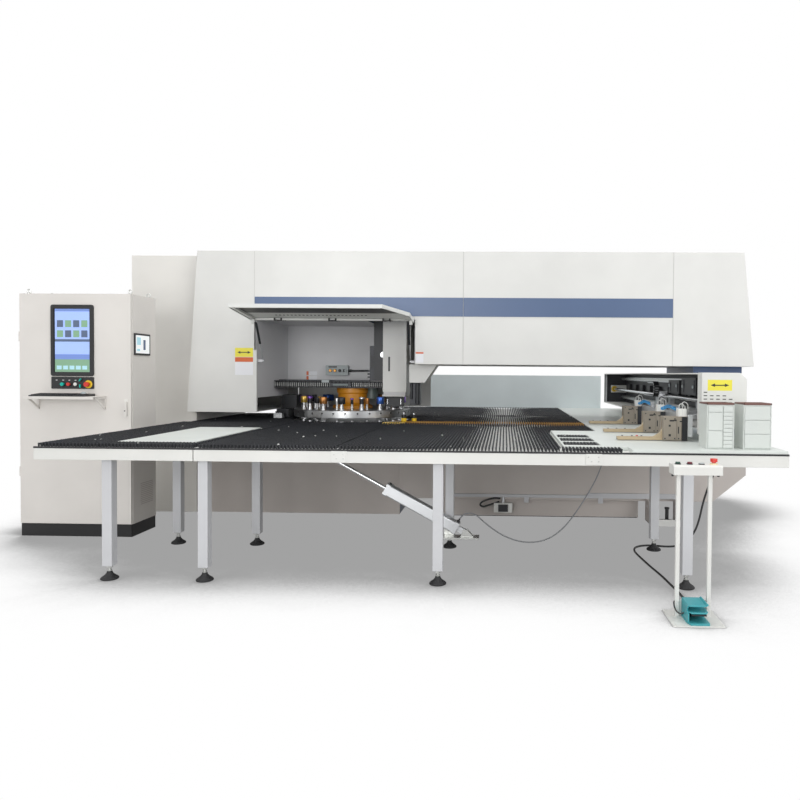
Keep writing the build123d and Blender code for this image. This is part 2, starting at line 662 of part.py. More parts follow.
def strut_top():
    """Y and Z of the gas struts' upper pivot with the guard open."""
    tilt = math.radians(-GUARD_RISE_DEG)
    y, z = -STRUT_REACH, -STRUT_DROP
    return (GUARD_AXIS_Y + y * math.cos(tilt) - z * math.sin(tilt),
            GUARD_AXIS_Z + y * math.sin(tilt) + z * math.cos(tilt))


def strut_point(distance):
    """A point on the strut's line, at a distance from its lower pivot."""
    y0, z0 = STRUT_FOOT
    y1, z1 = strut_top()
    length = math.hypot(y1 - y0, z1 - z0)
    return (y0 + (y1 - y0) * distance / length, z0 + (z1 - z0) * distance / length)


def strut_length():
    """Distance between the strut's pivots with the guard open."""
    y0, z0 = STRUT_FOOT
    y1, z1 = strut_top()
    return math.hypot(y1 - y0, z1 - z0)


def strut_barrels():
    """Black barrels of the two gas struts, with their upper ball ends."""
    full = strut_length()
    barrels = []
    for x in STRUT_X:
        outward = -1 if x < 0 else 1
        start, end = strut_point(full - STRUT_BARREL_LENGTH), strut_point(full - 10)
        barrel = rod((x, *start), (x, *end), STRUT_BARREL_RADIUS)
        barrel -= rod((x, *strut_point(full - STRUT_BARREL_LENGTH - 1)),
                      (x, *strut_point(full - 22)), STRUT_ROD_RADIUS + RUNNING_FIT)
        top = strut_point(full)
        barrel += rod((x - outward * 8, *top), (x + outward * 12.7, *top), 7)
        barrel += rod((x, *strut_point(full - 14)), (x, *top), 6)
        barrels.append(barrel)
    return group(barrels)


def strut_rods():
    """Bright rods of the two gas struts, with their lower eyes."""
    rods = []
    for x in STRUT_X:
        foot = strut_point(0)
        eye = rod((x - 6, *foot), (x + 6, *foot), 12)
        piece = eye + rod((x, *strut_point(8)), (x, *strut_point(268)), STRUT_ROD_RADIUS)
        piece -= rod((x - 9, *foot), (x + 9, *foot), 5.0 + RUNNING_FIT)
        rods.append(piece)
    return group(rods)


# Tables

def pan(x0, x1, y0, y1, leg_rows=()):
    """A table section: top plate, folded skirts, ribs and a cross bar over each leg row."""
    wall, under = SKIRT_WALL, TABLE_UNDER_Z
    section = block(x0, x1, y0, y1, under, TABLE_Z)
    section -= block(x0 + wall, x1 - wall, y0 + wall, y1 - wall, under - 1, TABLE_Z - TABLE_PLATE)
    count = max(1, round((x1 - x0) / RIB_SPACING))
    for i in range(1, count):
        x = x0 + (x1 - x0) * i / count
        section += block(x - wall / 2, x + wall / 2, y0 + wall, y1 - wall,
                         under + 30, TABLE_Z - TABLE_PLATE)
    for y in leg_rows:
        section += block(x0 + wall, x1 - wall, y - LEG_TUBE / 2, y + LEG_TUBE / 2,
                         under, TABLE_Z - TABLE_PLATE)
    return section


def front_leg_rows():
    """Y of the two leg rows under the front tables."""
    front = TABLE_FRONT_Y + LEG_INSET
    return (front, front + LEG_ROW_PITCH)


def rear_leg_rows():
    """Y of the two leg rows under the rear table."""
    rear = REAR_TABLE_Y - REAR_LEG_INSET
    return (rear, rear - LEG_ROW_PITCH)


def joint_plate(x):
    """Plate screwed over a seam of the front skirt."""
    return block(x - 52, x + 52, TABLE_FRONT_Y - 4, TABLE_FRONT_Y,
                 TABLE_UNDER_Z + 4, TABLE_Z - 4)


def left_table():
    """Front table left of the seam."""
    return pan(TABLE_LEFT_X, SEAM_X, TABLE_FRONT_Y, FRONT_TABLE_REAR_Y, front_leg_rows())


def centre_table():
    """Front table with the opening of the drop flap and its framed edges."""
    table = pan(CENTRE_LEFT_X, JOINT_X - 3, TABLE_FRONT_Y, FRONT_TABLE_REAR_Y, front_leg_rows())
    y0, y1 = flap_span()
    x0, x1 = FLAP_LEFT_X - FLAP_GAP, FLAP_AXIS[0] + FLAP_HINGE_RADIUS + 3
    table += block(x0 - 10, x1 + 10, y0 - FLAP_GAP - 10, y1 + FLAP_GAP + 10,
                   TABLE_UNDER_Z + 10, TABLE_Z)
    table -= block(x0, x1, y0 - FLAP_GAP, y1 + FLAP_GAP, TABLE_UNDER_Z - 1, TABLE_Z + 1)
    for y in (y0 + 150, y1 - 150):
        table += block(FLAP_AXIS[0] - 6, x1, y - 20, y + 20, TABLE_Z - 60, TABLE_Z - 2)
        table -= rod((FLAP_AXIS[0], y - 21, FLAP_AXIS[1]), (FLAP_AXIS[0], y + 21, FLAP_AXIS[1]),
                     5 + RUNNING_FIT)
    table += joint_plate(39)
    return table


def right_table():
    """Front table under the carriage beam."""
    table = pan(JOINT_X, TABLE_RIGHT_X, TABLE_FRONT_Y, FRONT_TABLE_REAR_Y, front_leg_rows())
    return table + joint_plate(JOINT_X)


def rear_table():
    """Table through the throat and behind the frame, cut round the lower turret."""
    front = FRONT_TABLE_REAR_Y
    throat_rear = -SLOT_REAR_Y
    table = pan(THROAT_TABLE_LEFT_X, TABLE_RIGHT_X, front, throat_rear)
    rear = pan(CENTRE_LEFT_X, TABLE_RIGHT_X, throat_rear, REAR_TABLE_Y, rear_leg_rows())
    table += rear
    turret_hole = TURRET_RADIUS + 12
    table -= rod((TURRET_X, 0, TABLE_UNDER_Z - 1), (TURRET_X, 0, TABLE_Z + 1), turret_hole)
    ring = rod((TURRET_X, 0, TABLE_UNDER_Z + 8), (TURRET_X, 0, TABLE_Z), turret_hole + SKIRT_WALL)
    ring -= rod((TURRET_X, 0, TABLE_UNDER_Z), (TURRET_X, 0, TABLE_Z + 1), turret_hole)
    table += ring
    slot_rear = -SLOT_FRONT_Y
    table -= block(1240, TABLE_RIGHT_X + 1, front - 1, SLOT_REAR_Y, TABLE_UNDER_Z - 1, TABLE_Z + 1)
    table -= block(1240, TABLE_RIGHT_X + 1, throat_rear, slot_rear, TABLE_UNDER_Z - 1, TABLE_Z + 1)
    for x in (-1700, 700, 2600):
        for y in (-400, 400):
            table += block(x - 40, x + 40, y - 40, y + 40, THROAT_BOTTOM_Z, TABLE_Z - TABLE_PLATE)
    return table


def comb(x0, x1, y0, y1):
    """A brush field: a base sheet with upright strips along Y."""
    gap = BRUSH_PITCH - BRUSH_STRIP
    count = int((x1 - x0 + gap) // BRUSH_PITCH)
    start = x0 + (x1 - x0 - count * BRUSH_PITCH + gap) / 2
    base_z = TABLE_Z + BRUSH_BASE
    points = [(x0, TABLE_Z), (x1, TABLE_Z), (x1, base_z)]
    for i in reversed(range(count)):
        left = start + i * BRUSH_PITCH
        right = left + BRUSH_STRIP
        points += [(right, base_z), (right - 3, PASS_Z), (left + 3, PASS_Z), (left, base_z)]
    points.append((x0, base_z))
    return across(points, y0, y1)


def well(x0, x1, y0, y1):
    """The space that a plate or flap takes out of a brush field."""
    return block(x0, x1, y0, y1, TABLE_Z - 1, PASS_Z + 1)


def slot_rows():
    """Front and rear edge of each brush-filled slot."""
    first = SLOT_PLATE_FRONT_Y + 95
    return [(first + i * SLOT_PITCH, first + i * SLOT_PITCH + SLOT_LENGTH)
            for i in range(SLOT_COUNT)]


def front_brushes():
    """Bristle strips of the front tables, as a field on each and in the slots."""
    m = BRUSH_MARGIN
    y0, y1 = TABLE_FRONT_Y + m, FRONT_TABLE_REAR_Y - m
    left = comb(TABLE_LEFT_X + m, SEAM_X - m, y0, y1)
    left -= well(INSET_RIGHT_X - INSET_WIDTH - 5, INSET_RIGHT_X + 5,
                 INSET_REAR_Y - INSET_DEPTH - 5, INSET_REAR_Y + 5)
    centre = comb(CENTRE_LEFT_X + m, BRUSH_RIGHT_X, y0, y1)
    centre -= well(SLOT_PLATE_LEFT_X - 2, BRUSH_RIGHT_X + 1,
                   SLOT_PLATE_FRONT_Y - 2, SLOT_PLATE_REAR_Y + 2)
    flap_y0, flap_y1 = flap_span()
    centre -= well(FLAP_LEFT_X - FLAP_GAP - 4, FLAP_AXIS[0] + FLAP_HINGE_RADIUS + 6,
                   flap_y0 - FLAP_GAP - 4, flap_y1 + FLAP_GAP + 4)
    pieces = [left, centre]
    for row_y0, row_y1 in slot_rows():
        pieces.append(comb(SLOT_PLATE_LEFT_X + 16, SLOT_PLATE_LEFT_X + 12 + SLOT_WIDTH,
                           row_y0 + 2, row_y1 - 2))
    return group(pieces)


def rear_brushes():
    """Bristle strips of the throat and of the rear table."""
    m = BRUSH_MARGIN
    front = FRONT_TABLE_REAR_Y
    throat = comb(THROAT_TABLE_LEFT_X + m, BRUSH_RIGHT_X, front + m, -front - m)
    throat -= rod((TURRET_X, 0, TABLE_Z - 1), (TURRET_X, 0, PASS_Z + 1), TURRET_RADIUS + 26)
    for side in (-1, 1):
        throat -= well(1240 - m, BRUSH_RIGHT_X + 1, side * 680, side * 740)
    rear = comb(CENTRE_LEFT_X + m, BRUSH_RIGHT_X, -front - m, REAR_TABLE_Y - m)
    rear -= well(1240 - m, BRUSH_RIGHT_X + 1, 680, 740)
    return throat + rear


def plain_plates():
    """Light steel plates level with the bristles: inset, slotted and carriage plates."""
    z0, z1 = TABLE_Z, TABLE_Z + PLAIN_LEVEL
    inset = block(INSET_RIGHT_X - INSET_WIDTH, INSET_RIGHT_X,
                  INSET_REAR_Y - INSET_DEPTH, INSET_REAR_Y, z0, z1)
    right = TABLE_RIGHT_X - 4
    front = upright([
        (SLOT_PLATE_LEFT_X, SLOT_PLATE_REAR_Y), (SLOT_PLATE_LEFT_X, SLOT_PLATE_FRONT_Y),
        (BRUSH_RIGHT_X + 50, SLOT_PLATE_FRONT_Y), (BRUSH_RIGHT_X + 50, TABLE_FRONT_Y + 6),
        (right, TABLE_FRONT_Y + 6), (right, FRONT_TABLE_REAR_Y - 2),
        (BRUSH_RIGHT_X + 6, FRONT_TABLE_REAR_Y - 2), (BRUSH_RIGHT_X + 6, SLOT_PLATE_REAR_Y),
    ], z0, z1)
    for row_y0, row_y1 in slot_rows():
        front -= well(SLOT_PLATE_LEFT_X + 14, SLOT_PLATE_LEFT_X + 14 + SLOT_WIDTH, row_y0, row_y1)
    edge = SLOT_REAR_Y + 2
    throat = block(BRUSH_RIGHT_X + 6, right, edge, -edge, z0, z1)
    rear = block(BRUSH_RIGHT_X + 6, right, -SLOT_FRONT_Y + 2, REAR_TABLE_Y - 6, z0, z1)
    return group([inset, front, throat, rear])


def leg_places():
    """X and Y of every table leg."""
    places = [(x, y) for x in LEG_X for y in front_leg_rows()]
    places += [(x, y) for x in REAR_LEG_X for y in rear_leg_rows()]
    return places


def table_legs():
    """Square tube legs under the tables, each with its end plate."""
    half, wall = LEG_TUBE / 2, 5.0
    legs = []
    for x, y in leg_places():
        tube = block(x - half, x + half, y - half, y + half, LEG_BOTTOM_Z, TABLE_UNDER_Z)
        tube -= block(x - half + wall, x + half - wall, y - half + wall, y + half - wall,
                      LEG_BOTTOM_Z + 8, TABLE_UNDER_Z + 1)
        tube -= rod((x, y, LEG_BOTTOM_Z - 1), (x, y, LEG_BOTTOM_Z + 9),
                    FOOT_STUD_RADIUS + RUNNING_FIT)
        legs.append(tube)
    return group(legs)


def levelling_feet():
    """Screw feet with their conical pads and lock nuts."""
    feet = []
    for x, y in leg_places():
        feet.append(turned([
            (0, 0), (FOOT_RADIUS, 0), (FOOT_RADIUS, 14), (18, 44), (18, 56),
            (FOOT_STUD_RADIUS, 56), (FOOT_STUD_RADIUS, LEG_BOTTOM_Z - 16), (19, LEG_BOTTOM_Z - 16),
            (19, LEG_BOTTOM_Z), (FOOT_STUD_RADIUS, LEG_BOTTOM_Z),
            (FOOT_STUD_RADIUS, LEG_BOTTOM_Z + 30), (0, LEG_BOTTOM_Z + 30),
        ], x, y))
    return group(feet)


def rear_guard():
    """Low sheet fence along the far edge of the rear table."""
    y0 = REAR_TABLE_Y
    guard = block(-20, 2480, y0 + 2, y0 + 8, 890, 1365)
    for x in (60, 1230, 2400):
        guard += block(x - 25, x + 25, y0, y0 + 40, TABLE_UNDER_Z + 10, 1340)
    return guard


# Drop flap and its cylinder

def flap_span():
    """Front and rear ends of the drop flap."""
    return (TABLE_FRONT_Y + 40, FRONT_TABLE_REAR_Y - 22)


def drop_flap():
    """Brush-covered flap with its edge frame, hinge barrels and lever."""
    y0, y1 = flap_span()
    x0, x1 = FLAP_LEFT_X, FLAP_RIGHT_X
    z1 = TABLE_Z
    body = block(x0, x1, y0, y1, z1 - FLAP_THICKNESS, z1)
    body -= block(x0 + 6, x1 - 6, y0 + 6, y1 - 6, z1 - FLAP_THICKNESS - 1, z1 - 6)
    body += comb(x0 + 6, x1 - 10, y0 + 6, y1 - 6)
    for y in (y0 + 150, y1 - 150):
        body -= block(x1 - 9, x1 + 1, y - 24, y + 24, z1 - FLAP_THICKNESS - 1, z1 - 6)
    x, z = FLAP_AXIS
    for start, end in ((y0, y0 + 129), (y0 + 171, y1 - 171), (y1 - 129, y1)):
        body += rod((x, start, z), (x, end, z), FLAP_HINGE_RADIUS)
        body += block(x1 - 8, x, start, end, z - 5, z + 5)
    for y in (y0 + 150, y1 - 150):
        body += rod((x, y - 22, z), (x, y + 22, z), 5)
    head_x, head_z = CYLINDER_HEAD
    for side in (-1, 1):
        near, far = CYLINDER_Y + side * 20, CYLINDER_Y + side * 32
        a, b = sorted((near, far))
        body += across([(head_x - 26, z1 - 6), (head_x + 44, z1 - 6), (head_x + 16, head_z - 16),
                        (head_x - 16, head_z - 16)], a, b)
        outer = CYLINDER_Y + side * 32
        body += rod((head_x, outer, head_z), (head_x, outer + side * 5, head_z), 12)
    return body


def cylinder_point(distance):
    """A point on the cylinder's axis, at a distance from its tail pivot."""
    x0, z0 = CYLINDER_TAIL
    x1, z1 = CYLINDER_HEAD
    length = math.hypot(x1 - x0, z1 - z0)
    share = distance / length
    return (x0 + (x1 - x0) * share, CYLINDER_Y, z0 + (z1 - z0) * share)


def cylinder_reach():
    """Distance between the cylinder's two pivots at rest."""
    x0, z0 = CYLINDER_TAIL
    x1, z1 = CYLINDER_HEAD
    return math.hypot(x1 - x0, z1 - z0)


def cylinder_frame(distance):
    """A plane square to the cylinder's axis."""
    direction = Vector(*cylinder_point(1)) - Vector(*cylinder_point(0))
    return Plane(origin=cylinder_point(distance), x_dir=(0, 1, 0), z_dir=direction.normalized())


def cylinder_barrel():
    """Square-section air cylinder with its end caps and tail eye."""
    size = CYLINDER_SIZE
    start = CYLINDER_START
    profile = RectangleRounded(size - 8, size - 8, 10)
    barrel = extrude(cylinder_frame(start) * profile, amount=CYLINDER_LENGTH)
    cap = RectangleRounded(size, size, 8)
    for place in (start, start + CYLINDER_LENGTH - 34):
        barrel += extrude(cylinder_frame(place) * cap, amount=34)
    barrel -= rod(cylinder_point(start + CYLINDER_BORE_FLOOR), cylinder_point(start + CYLINDER_LENGTH + 1),
                  CYLINDER_ROD_RADIUS + RUNNING_FIT)
    x, y, z = cylinder_point(0)
    barrel += extrude(cylinder_frame(0) * Rectangle(30, 44), amount=start + 2)
    barrel += rod((x, y - 15, z), (x, y + 15, z), 22)
    barrel -= rod((x, y - 16, z), (x, y + 16, z), 9 + RUNNING_FIT)
    return barrel


def cylinder_rod():
    """Piston rod with its fork eye on the flap's pin."""
    reach = cylinder_reach()
    x, y, z = cylinder_point(reach)
    inner_end = CYLINDER_START + CYLINDER_BORE_FLOOR + CYLINDER_STROKE + 4
    piece = rod(cylinder_point(inner_end), cylinder_point(reach - 10), CYLINDER_ROD_RADIUS)
    piece += rod((x, y - 19.5, z), (x, y + 19.5, z), 20)
    return piece


def cylinder_bracket():
    """Floor-side bracket of the cylinder: plate, clamp on the leg, two cheeks and a pin."""
    x, z = CYLINDER_TAIL
    leg_x = LEG_X[2]
    leg_front = front_leg_rows()[1] - LEG_TUBE / 2
    z1 = z - 32
    bracket = block(leg_x - 115, x + 110, CYLINDER_Y - 55, leg_front, z1 - 14, z1)
    bracket += block(leg_x - 40, leg_x + 40, leg_front - 10, leg_front, z1 - 14, z1 + 120)
    for side in (-1, 1):
        a, b = sorted((CYLINDER_Y + side * 16, CYLINDER_Y + side * 28))
        bracket += across([(x - 34, z1), (x + 70, z1), (x + 16, z + 24), (x - 16, z + 24)], a, b)
    bracket += rod((x, CYLINDER_Y - 28, z), (x, CYLINDER_Y + 28, z), 9)
    return bracket


# Carriage beam

def beam_housing():
    """Beam open towards the clamps, with its rails and the saddle webs to the frame."""
    x0, x1 = BEAM_LEFT_X, BEAM_RIGHT_X
    y0, y1 = BEAM_FRONT_Y + 14, BEAM_REAR_Y
    wall = BEAM_WALL
    beam = block(x0, x1, y0, y1, BEAM_BOTTOM_Z, BEAM_TOP_Z)
    beam -= block(x0 - 1, x1 - wall, y0 + wall, y1 - wall, BEAM_BOTTOM_Z + wall, BEAM_TOP_Z - wall)
    for z in (1060, 1310):
        beam += block(x1 - 60, x1 - wall, y0 + wall, y1 - wall, z, z + 40)
    for y in (y0 + wall, y1 - wall - 40):
        beam += block(SCREW_X - 40, x1 - wall, y, y + 40, SCREW_Z - 50, SCREW_Z + 50)
        beam -= rod((SCREW_X, y - 1, SCREW_Z), (SCREW_X, y + 41, SCREW_Z),
                    SCREW_RADIUS + RUNNING_FIT)
    half = SADDLE_THICKNESS / 2
    for side in (-1, 1):
        a, b = sorted((side * (SADDLE_Y - half), side * (SADDLE_Y + half)))
        beam += block(x0 + 20, x1 - 4, a, b, 600, BEAM_BOTTOM_Z)
        c, d = sorted((side * (SADDLE_Y - half - 8.7), side * (SADDLE_Y - half)))
        beam += block(x0 + 20, x1 - 4, c, d, 600, 700)
    return beam


def beam_end_cover():
    """Folded cover on the beam's near end, with its chamfered corner."""
    x0, x1 = BEAM_LEFT_X - 2, BEAM_RIGHT_X + 2
    z1 = BEAM_TOP_Z + 2
    outline = [
        (x0, 960), (x0 + 70, 960), (x0 + 70, 1165), (x1, 1165), (x1, z1 - 44),
        (x1 - 50, z1), (x0, z1),
    ]
    cover = across(outline, BEAM_FRONT_Y - 90, BEAM_FRONT_Y + 14)
    return cover


def ball_screw():
    """Long screw that drives the clamp carriage."""
    y0 = BEAM_FRONT_Y + 14 + BEAM_WALL + 2
    y1 = BEAM_REAR_Y - BEAM_WALL - 2
    return rod((SCREW_X, y0, SCREW_Z), (SCREW_X, y1, SCREW_Z), SCREW_RADIUS)


def cable_chain():
    """Energy chain standing in a bend between the beam and the clamp carriage."""
    y, z, radius, thick, width = -560.0, 1248.0, 52.0, 22.0, 50.0
    x0 = SCREW_X - NUT_HALF - width
    outer = rod((x0, y, z), (x0 + width, y, z), radius + thick)
    outer -= rod((x0 - 1, y, z), (x0 + width + 1, y, z), radius)
    outer -= block(x0 - 1, x0 + width + 1, y, y + 200, z - 100, z + 100)
    outer += block(x0, x0 + width, y, y + 380, z - radius - thick, z - radius)
    outer += block(x0, x0 + width, y, y + 260, z + radius, z + radius + thick)
    return outer


def carriage_ends():
    """Front and rear ends of the clamp carriage."""
    return (CLAMP_Y[2] - 60, CLAMP_Y[0] + 80)


def cross_carriage():
    """Clamp carriage: a front bar, arms into the beam, the nut and slide shoes."""
    y0, y1 = carriage_ends()
    x0 = CLAMP_RIGHT_X
    bar = block(x0, x0 + 34, y0, y1, 936, 1096)
    nut_y = (CLAMP_Y[0] - 60, CLAMP_Y[0] + 60)
    rail_x = BEAM_RIGHT_X - 60
    for y in (y0 + 90, CLAMP_Y[1], CLAMP_Y[0]):
        bar += block(x0 + 34, rail_x - REST_GAP, y - 45, y + 45, 1064, 1096)
        bar += block(rail_x - 40, rail_x - REST_GAP, y - 45, y + 45, 1050, 1170)
    bar += block(SCREW_X - NUT_HALF, SCREW_X + NUT_HALF, nut_y[0], nut_y[1], 1096, SCREW_Z + NUT_HALF)
    for y, offset in zip(CLAMP_Y, COIL_BLOCK_OFFSET):
        bar += block(x0 + 3, x0 + 31, y - offset - 30, y - offset, 1096, 1140)
    bar -= rod((SCREW_X, nut_y[0] - 1, SCREW_Z), (SCREW_X, nut_y[1] + 1, SCREW_Z),
               SCREW_RADIUS + RUNNING_FIT)
    return bar


def jaw_axis():
    """X and Z of the clamp jaws' common hinge line."""
    return (CLAMP_LEFT_X + 44, 986.0)


def clamp_bodies():
    """The three sheet clamps: body, lower jaw and valve block on top."""
    x0, x1, half = CLAMP_LEFT_X, CLAMP_RIGHT_X, CLAMP_HALF_WIDTH
    hinge_x, hinge_z = jaw_axis()
    lower = PASS_Z + REST_GAP
    clamps = []
    for y in CLAMP_Y:
        body = block(x0, x1, y - half, y + half, lower, CLAMP_TOP_Z)
        body -= block(x0 - 1, x0 + 110, y - 22, y + 22, lower + 12, CLAMP_TOP_Z + 1)
        body += across([(JAW_TIP_X, lower + 2), (JAW_TIP_X + 16, lower), (x0, lower),
                        (x0, lower + 11), (JAW_TIP_X, lower + 11)], y - 22, y + 22)
        body += rod((hinge_x, y - half, hinge_z), (hinge_x, y + half, hinge_z), 9)
        body += block(x0 + 118, x0 + 168, y - 30, y + 30, CLAMP_TOP_Z, CLAMP_TOP_Z + 52)
        clamps.append(body)
    return group(clamps)


def clamp_jaws():
    """Upper jaws, which close down on the sheet about one hinge line."""
    hinge_x, hinge_z = jaw_axis()
    lower = PASS_Z + REST_GAP + 11 + 2
    jaws = []
    for y in CLAMP_Y:
        outline = [
            (JAW_TIP_X, lower), (CLAMP_LEFT_X + 6, lower), (CLAMP_LEFT_X + 40, lower + 10),
            (CLAMP_LEFT_X + 100, lower + 30), (CLAMP_LEFT_X + 100, hinge_z + 30),
            (CLAMP_LEFT_X + 20, hinge_z + 30), (CLAMP_LEFT_X - 14, lower + 40),
            (CLAMP_LEFT_X - 60, lower + JAW_THICKNESS), (JAW_TIP_X, lower + JAW_THICKNESS),
        ]
        jaw = across(outline, y - 21, y + 21)
        jaw -= rod((hinge_x, y - 22, hinge_z), (hinge_x, y + 22, hinge_z), 9 + RUNNING_FIT)
        jaws.append(jaw)
    return group(jaws)


def coil_route(start_y, end_y):
    """Route of one coiled hose, from a clamp's valve block to its block on the carriage."""
    length = end_y - start_y
    x0, x1 = CLAMP_LEFT_X + 143, CLAMP_RIGHT_X + 17
    z = CLAMP_TOP_Z + 26
    return [
        (x0, start_y, z),
        (x0, start_y + 0.21 * length, z),
        (x0 + 0.43 * (x1 - x0), start_y + 0.47 * length, z + 0.09 * abs(length)),
        (x1, start_y + 0.77 * length, z + 9),
        (x1, end_y, z + 9),
    ]


def coil_routes():
    """Routes of the three coiled air hoses above the clamps."""
    first, second, third = CLAMP_Y
    near, far = COIL_BLOCK_OFFSET
    return [
        coil_route(first - 30, first - near),
        coil_route(second - 30, second - far),
        coil_route(third + 30, second - far - 30),
    ]


def tube(points, radius):
    """A hose along straight runs joined by arcs as large as the runs allow."""
    vectors = [Vector(*p) for p in points]
    radii = []
    for before, corner, after in zip(vectors, vectors[1:], vectors[2:]):
        turn = (corner - before).get_angle(after - corner)
        shorter = min((corner - before).length, (after - corner).length)
        radii.append(0.45 * shorter / math.tan(math.radians(turn) / 2))
    print("hose radii", [round(r) for r in radii], "tube radius", radius)
    path = FilletPolyline(*vectors, radius=radii)
    start = Plane(origin=vectors[0], z_dir=(vectors[1] - vectors[0]).normalized())
    return sweep(start * Circle(radius), path=path)


def air_coils():
    """Outer shape of the coiled air hoses above the clamps."""
    return group([tube(route, 15.0) for route in coil_routes()])


# Hoses and cables that lie or hang free

def air_hose():
    """Thin air hose from the cylinder's tail, sagging to the table's underside."""
    return tube(AIR_HOSE_ROUTE, AIR_HOSE_RADIUS)


def pendant_cable():
    """Control cable of the stand, looped over the floor from under the right table."""
    return tube(CABLE_ROUTE, CABLE_RADIUS)


# Control cabinet

def cabinet_shell():
    """Cabinet body with its plinth, mounting plate, side screen and eye bolts."""
    x0, x1 = CABINET_LEFT_X, CABINET_RIGHT_X
    y0, y1 = CABINET_FRONT_Y + DOOR_THICKNESS + 2, CABINET_REAR_Y
    wall = CABINET_WALL
    shell = block(x0, x1, y0, y1, PLINTH_HEIGHT, CABINET_HEIGHT)
    shell -= block(x0 + wall, x1 - wall, y0 - 1, y1 - wall,
                   PLINTH_HEIGHT + wall, CABINET_HEIGHT - wall)
    shell += block(x0 + 4, x1 - 4, CABINET_FRONT_Y + 12, y1 - 4, 0, PLINTH_HEIGHT)
    shell += block(x0 + 60, x1 - 60, y1 - wall - 22, y1 - wall, 220, 1900)
    for z, height in ((320, 180), (640, 240), (1000, 160), (1320, 200), (1640, 140)):
        shell += block(x0 + 110, x1 - 110, y1 - wall - 130, y1 - wall - 22, z, z + height)
    shell += block(x1, x1 + 8, -1569, -1328, 1518, 1694)
    for x in (x0 + 40, x1 - 40):
        for y in (y0 + 40, y1 - 40):
            ring = Pos(x, y, CABINET_HEIGHT + 22) * Rot(90, 0, 0) * Torus(15, 5)
            shell += ring
            shell += rod((x, y, CABINET_HEIGHT - 1), (x, y, CABINET_HEIGHT + 9), 9)
    for z in (500, 1620):
        hinge_x, hinge_y = door_axis()
        shell += rod((hinge_x, hinge_y, z + 41), (hinge_x, hinge_y, z + 80), HINGE_RADIUS)
        shell += block(hinge_x - 5, x0 + 1, hinge_y, y0 + 2, z + 42, z + 79)
    return shell


def door_axis():
    """X and Y of the cabinet door's hinge line."""
    return (CABINET_LEFT_X - 5, CABINET_FRONT_Y + 10)


def cabinet_door():
    """Door over the whole front, a folded tray with an opening for the screen."""
    x0, x1 = CABINET_LEFT_X + 3, CABINET_RIGHT_X - 3
    y0, y1 = CABINET_FRONT_Y, CABINET_FRONT_Y + DOOR_THICKNESS
    z0, z1 = PLINTH_HEIGHT + 4, CABINET_HEIGHT - 3
    door = block(x0, x1, y0, y1, z0, z1)
    door -= block(x0 + 40, x1 - 40, y0 + 4, y1 + 1, z0 + 40, z1 - 40)
    door -= block(-2631, -2302, y0 - 1, y1, 1345, 1912)
    for x in (BUTTON_X["start"], BUTTON_X["stop"], BUTTON_X["estop"]):
        door -= rod((x, y0 - 1, BUTTON_Z), (x, y0 + 5, BUTTON_Z), 16)
    hinge_x, hinge_y = door_axis()
    for z in (500, 1620):
        door += rod((hinge_x, hinge_y, z), (hinge_x, hinge_y, z + 40.7), HINGE_RADIUS)
        door += block(hinge_x, x0 + 1, hinge_y - 6, hinge_y + 6, z, z + 40)
    door -= rod((HANDLE[0], y0 - 1, HANDLE[1]), (HANDLE[0], y1, HANDLE[1]), 8 + RUNNING_FIT)
    return door


def door_handle():
    """Swing handle with its spindle through the door."""
    x, z = HANDLE
    y = CABINET_FRONT_Y
    handle = block(x - 14, x + 14, y - 26, y - 8, z - 106, z + 16)
    handle = fillet(handle.edges().filter_by(Axis.Y), 8)
    handle += rod((x, y - 10, z), (x, y + 30, z), 8)
    handle += block(x - 8, x + 21, y + 26, y + 30, z - 10, z + 10)
    return handle


def operator_panel():
    """Screen in its bezel, with the button plate below it."""
    y = CABINET_FRONT_Y
    panel = block(-2645, -2288, y - 14, y, 1335, 1923)
    panel -= block(-2619, -2314, y - 15, y - 9, 1361, 1897)
    panel += block(-2629, -2304, y, y + 40, 1347, 1910)
    panel += block(-2645, -2288, y - 8, y, 1230, 1328)
    for x in (BUTTON_X["start"], BUTTON_X["stop"]):
        panel -= rod((x, y - 9, BUTTON_Z), (x, y + 1, BUTTON_Z), 11 + RUNNING_FIT)
    panel -= rod((BUTTON_X["estop"], y - 9, BUTTON_Z), (BUTTON_X["estop"], y + 1, BUTTON_Z),
                 12 + RUNNING_FIT)
    x = BUTTON_X["reset"]
    panel += rod((x, y - 8, BUTTON_Z), (x, y - 18, BUTTON_Z), 13)
    for z in (1254, 1304):
        panel += rod((-2396, y - 8, z), (-2396, y - 12, z), 13)
        panel += block(-2400, -2392, y - 26, y - 12, z - 12, z + 12)
    return panel


def push_button(x, y, z, radius, cap):
    """A push-button along +Y: stem through its plate and a round cap."""
    return rod((x, y - 22, z), (x, y - 14, z), cap) + rod((x, y - 14, z), (x, y + 12, z), radius)


def mushroom(x, y, z, stem, cap):
    """An emergency-stop button along +Y, with its mushroom head."""
    return rod((x, y - 36, z), (x, y - 20, z), cap) + rod((x, y - 20, z), (x, y + 12, z), stem)


def keyboard_shelf():
    """Fold-front shelf on two triangular brackets."""
    x0, x1 = -2758.0, -2185.0
    y1 = CABINET_FRONT_Y
    y0 = y1 - 185
    z = 1172.0
    shelf = block(x0, x1, y0, y1, z - 5, z)
    shelf += block(x0, x1, y0, y0 + 5, z - 22, z)
    for x in (x0 + 4, x1 - 14):
        shelf += along([(y1, z - 5), (y0 + 30, z - 5), (y1 - 12, z - 112), (y1, z - 112)], x, x + 10)
    return shelf


def keyboard():
    """Keyboard resting on the shelf."""
    z = 1172.0
    y0 = CABINET_FRONT_Y - 172
    body = along([(y0, z), (y0 + 140, z), (y0 + 140, z + 24), (y0, z + 12)], -2722, -2262)
    return body


# Push-button stand

